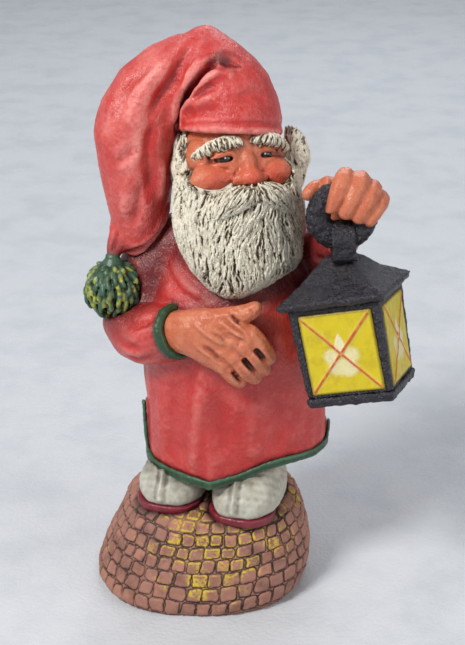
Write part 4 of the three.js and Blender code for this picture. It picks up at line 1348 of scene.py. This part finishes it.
def make_pompom():
    """Strands spread evenly over a ball by the golden angle, from its tie to their tips."""
    low, high = mm_box("pompom")
    radius = (high[0] - low[0]) / 2 - 0.2
    middle = np.array([(low[0] + high[0]) / 2, (low[1] + high[1]) / 2, low[2] + radius])
    tie = np.array([middle[0], middle[1] + 3.4, high[2] - 1.0])
    pole = unit(tie - middle)
    side = unit(np.cross(pole, (0, 1, 0)))
    front = np.cross(side, pole)

    def on_ball(from_pole, round_pole, reach):
        around = math.cos(round_pole) * side + math.sin(round_pole) * front
        return middle + reach * radius * (math.cos(from_pole) * pole + math.sin(from_pole) * around)

    parts = [blob(middle, radius * CORE)]
    tips = []
    for k in range(STRANDS):
        end = math.acos(1 - TIED - (2 - TIED) * (k + 0.5) / STRANDS)
        turn = math.pi * (1 + 5**0.5) * k
        start = max(end - 0.9 - 0.4 * rng.random(), 0.05)
        twist = 0.7 * (rng.random() - 0.5)
        reach = 0.90 + 0.12 * rng.random()
        places = []
        for t in (0, 0.25, 0.5, 0.7, 0.85, 1):
            out = ROOT + (reach - ROOT) * min(1.15 * t, 1)
            places.append(on_ball(start + (end - start) * t, turn + twist * (1 - t), out))
        parts.append(rope(places, [0.8, 1.05, 1.15, 1.15, 1.15, 1.0], sides=8))
        if rng.random() < 0.5:
            tips += list(smooth_line(places[4:] if rng.random() < 0.6 else places[3:], 4))
    neck = [middle + pole * radius * CORE, middle + pole * radius * 0.98, tie + (0, -0.4, -3.0), tie]
    parts.append(rope(neck, [6.6, 4.6, 3.4, 3.3], sides=16))
    clay = Clay("pompom", [], parts, voxel=0.45, rounds=1, levels=0, grow=0.0)
    clay.nodes = ["pompom"]
    away = np.linalg.norm(clay.co - middle, axis=1) / radius
    collar = step((clay.co - middle) @ pole, radius * 0.78, radius * 0.92)
    to_tip = np.min([np.linalg.norm(clay.co - tip, axis=1) for tip in tips], axis=0)
    # Painted shade in the hollows and deep among the strands.
    clay.read_relief(4, 0.16, deep=1.0, high=0)
    clay.darken(step(0.93 - away, 0, 0.14) * (1 - collar))
    dipped = step(1.45 - to_tip + 0.35 * clay.fuzz(1.4, 6), 0, 0.9) * step(away, 0.86, 0.96)
    clay.tint = dipped * (1 - collar)
    # Painted highlights on the tie and the outermost strands; the yellow tips are the real paint.
    clay.high = 0.6 * collar * step(clay.fuzz(3, 2), 0, 0.6) + 0.3 * step(away, 0.94, 1.0)
    paint = Paint("pompom_paint", "29422a", gloss=0.5)
    paint.coat("3f5f36", paint.noise(3, 0.4, 0.7), 0.6)
    paint.coat("c4c232", paint.mask("tint"), 0.85)
    # Painted highlights, then painted shade among the strands.
    paint.coat("6f9486", paint.mask("high"), 0.6)
    paint.coat("0e180e", paint.mask("deep"), 0.95)
    paint.rough = 0.38
    paint.grain(0.6, 0.04)
    clay.done(paint.done(), "pompom_green")


# ---- Lantern -------------------------------------------------------------------------------------


def iron_paint(name):
    paint = Paint(name, "19161d", gloss=0.5)
    paint.coat("25212c", paint.noise(4, 0.4, 0.65), 0.8)
    paint.coat("131115", paint.noise(2.4, 0.5, 0.7), 0.7)
    # Lighter grey on what stands out: partly worn paint on the edges, partly painted highlight.
    paint.coat("6f6a76", paint.mask("high"), paint.spread(paint.noise(1.1, 0.5, 0.62), 0, 1, 0.02, 0.7))
    # Fine pale flecks as painted glints.
    paint.coat("4a4652", paint.noise(0.7, 0.64, 0.74), 0.45)
    # Painted shade in the hollows.
    paint.coat("070607", paint.mask("deep"), 0.9)
    paint.sheen(2, 0.26, 0.42)
    paint.grain(0.9, 0.3)
    return paint.done()


def pane_axes(node):
    """A pane's own frame: x along its width and y into the lantern."""
    co = node_points(node)
    middle = co.mean(0)
    _, _, axes = np.linalg.svd(co - middle, full_matrices=False)
    up = axes[0] * (1 if axes[0][2] > 0 else -1)
    inwards = centre("lantern_body") - middle
    y = axes[2] * (1 if axes[2] @ inwards > 0 else -1)
    x = np.cross(y, up)
    pane = Axes(middle, x, y)
    return pane, np.ptp(pane.local(co), axis=0)


PANES = {side: f"lantern_pane_{side}" for side in ("front", "right", "back", "left")}


def make_lantern():
    iron = iron_paint("iron_paint")
    low, high = mm_box("lantern_hanger")
    top = mm_box("lantern_roof")[1][2] + 0.5
    foot = ((low[0] + high[0]) / 2 + 0.6, (low[1] + high[1]) / 2 - 0.5, top)
    flare = [blob(foot, (5.6, 4.6, 1.8))]
    plans = (
        ("lantern_ring", 0.6, 4, 0.75, 2.2, []),
        ("lantern_hanger", 0.5, 3, 0.45, 2.0, flare),
        ("lantern_roof", 0.8, 3, 0.45, 3.4, []),
        ("lantern_body", 0.75, 3, 0.4, 3.0, []),
        ("lantern_floor", 0.75, 3, 0.5, 3.0, []),
    )
    for node, voxel, rounds, rough, size, extra in plans:
        clay = Clay(node, extra=extra, voxel=voxel, rounds=rounds, grow=0.25)
        if node == "lantern_hanger":
            under = np.clip(top - clay.co[:, 2], 0, None)
            clay.co[:, 2] += 0.62 * under
            clay.co[:, 1] += 0.3 * under
            clay.co[:, 0] += 0.05 * under * (clay.co[:, 0] - foot[0])
        clay.push(rough * 0.6 * clay.fuzz(size, 1) + rough * 0.5 * clay.fuzz(size * 0.5, 2))
        # Painted shade in the hollows and painted highlights on what stands out.
        clay.read_relief(3, 0.12, deep=0.9, high=1.0)
        if node == "lantern_body":
            # Painted shade where the frame meets the panes.
            clay.darken(0.8 * clay.near(*PANES.values(), reach=1.4))
        clay.done(iron, "lantern_black")
    make_panes()


def window_paint(name, base):
    paint = Paint(name, base, gloss=0.5)
    paint.coat("b39a0c", paint.noise(6, 0.42, 0.7), 0.6)
    paint.coat("ddca35", paint.noise(3, 0.5, 0.75, stretch=(1, 1, 0.4)), 0.5)
    # The pale flame and its cloud, and a painted highlight beside the red lines.
    paint.coat("e0dab6", paint.mask("high"), paint.spread(paint.noise(1.1, 0.3, 0.6), 0, 1, 0.6, 0.95))
    # Painted shade at the pane's edge, in the frame's recess.
    paint.coat("54420c", paint.mask("deep"), 0.85)
    paint.coat("c44a26", paint.mask("tint"), paint.spread(paint.noise(2, 0.3, 0.6), 0, 1, 0.7, 1.0))
    paint.sheen(3, 0.3, 0.44)
    paint.grain(1.0, 0.09)
    return paint.done()


def make_panes():
    yellow = window_paint("window_paint", "cfb914")
    # A paler paint for the right pane: painted light, standing for the light that falls on that side.
    pale = window_paint("lit_side_window_paint", "fff09a")
    for side, node in PANES.items():
        paint = pale if side == "right" else yellow
        axes, (wide, _, tall) = pane_axes(node)
        clay = Clay(node, voxel=0.4, rounds=2, levels=0, grow=0.3)
        x, y, z = axes.local(clay.co).T
        w, h = wide / 2, tall / 2
        outer = y < 0
        slope = h / w
        lines = np.minimum(np.abs(z - slope * x), np.abs(z + slope * x)) / math.hypot(1, slope)
        lines = lines + 0.16 * clay.fuzz(6, 4)
        reach = step(0.97 - np.abs(x) / w, 0, 0.05)
        red = step(0.6 - lines, -0.1, 0.25) * outer * reach
        drop = 2.4 * np.clip(np.sin(np.clip((9.0 - z) / 11.0, 0, 1) * math.pi), 0, 1) ** 0.9
        flame = step(drop - np.abs(x), 0, 0.5) * (z < 9.0)
        glow = np.zeros(clay.n)
        for a, b, r in ((-4.9, -1.4, 4.6), (4.9, -1.4, 4.6), (-2.4, -6.0, 5.4), (2.4, -6.0, 5.4)):
            glow = np.maximum(glow, step(r - np.hypot(x - a, z - b) + 0.8 * clay.fuzz(3.5, 7), 0, 2.6))
        raised = 0.3 * np.clip(flame + 0.5 * glow, 0, 1) + 0.3 * bell(lines, 1.3) * reach
        clay.push(0.4 * red + raised * outer)
        clay.push(0.08 * clay.fuzz(3, 5))
        clay.tint = red
        # A painted highlight beside each red line, added to the real painted flame and its pale cloud.
        halo = 0.12 * bell(lines - 1.0, 0.5) * reach
        clay.high = np.clip(np.maximum(np.maximum(flame, 0.8 * glow), halo), 0, 1) * outer
        # Painted shade along the pane's edge, in the recess of the frame.
        edge = np.minimum(w - np.abs(x), h - np.abs(z))
        clay.deep = step(1.2 - edge, 0, 1.1) * 0.8
        clay.done(paint, "window_yellow")


make_mound()
make_feet()
make_gown()
make_trim()
make_hat()
make_head()
make_beard()
make_moustache()
make_hair()
make_brows()
make_hands()
make_pompom()
make_lantern()
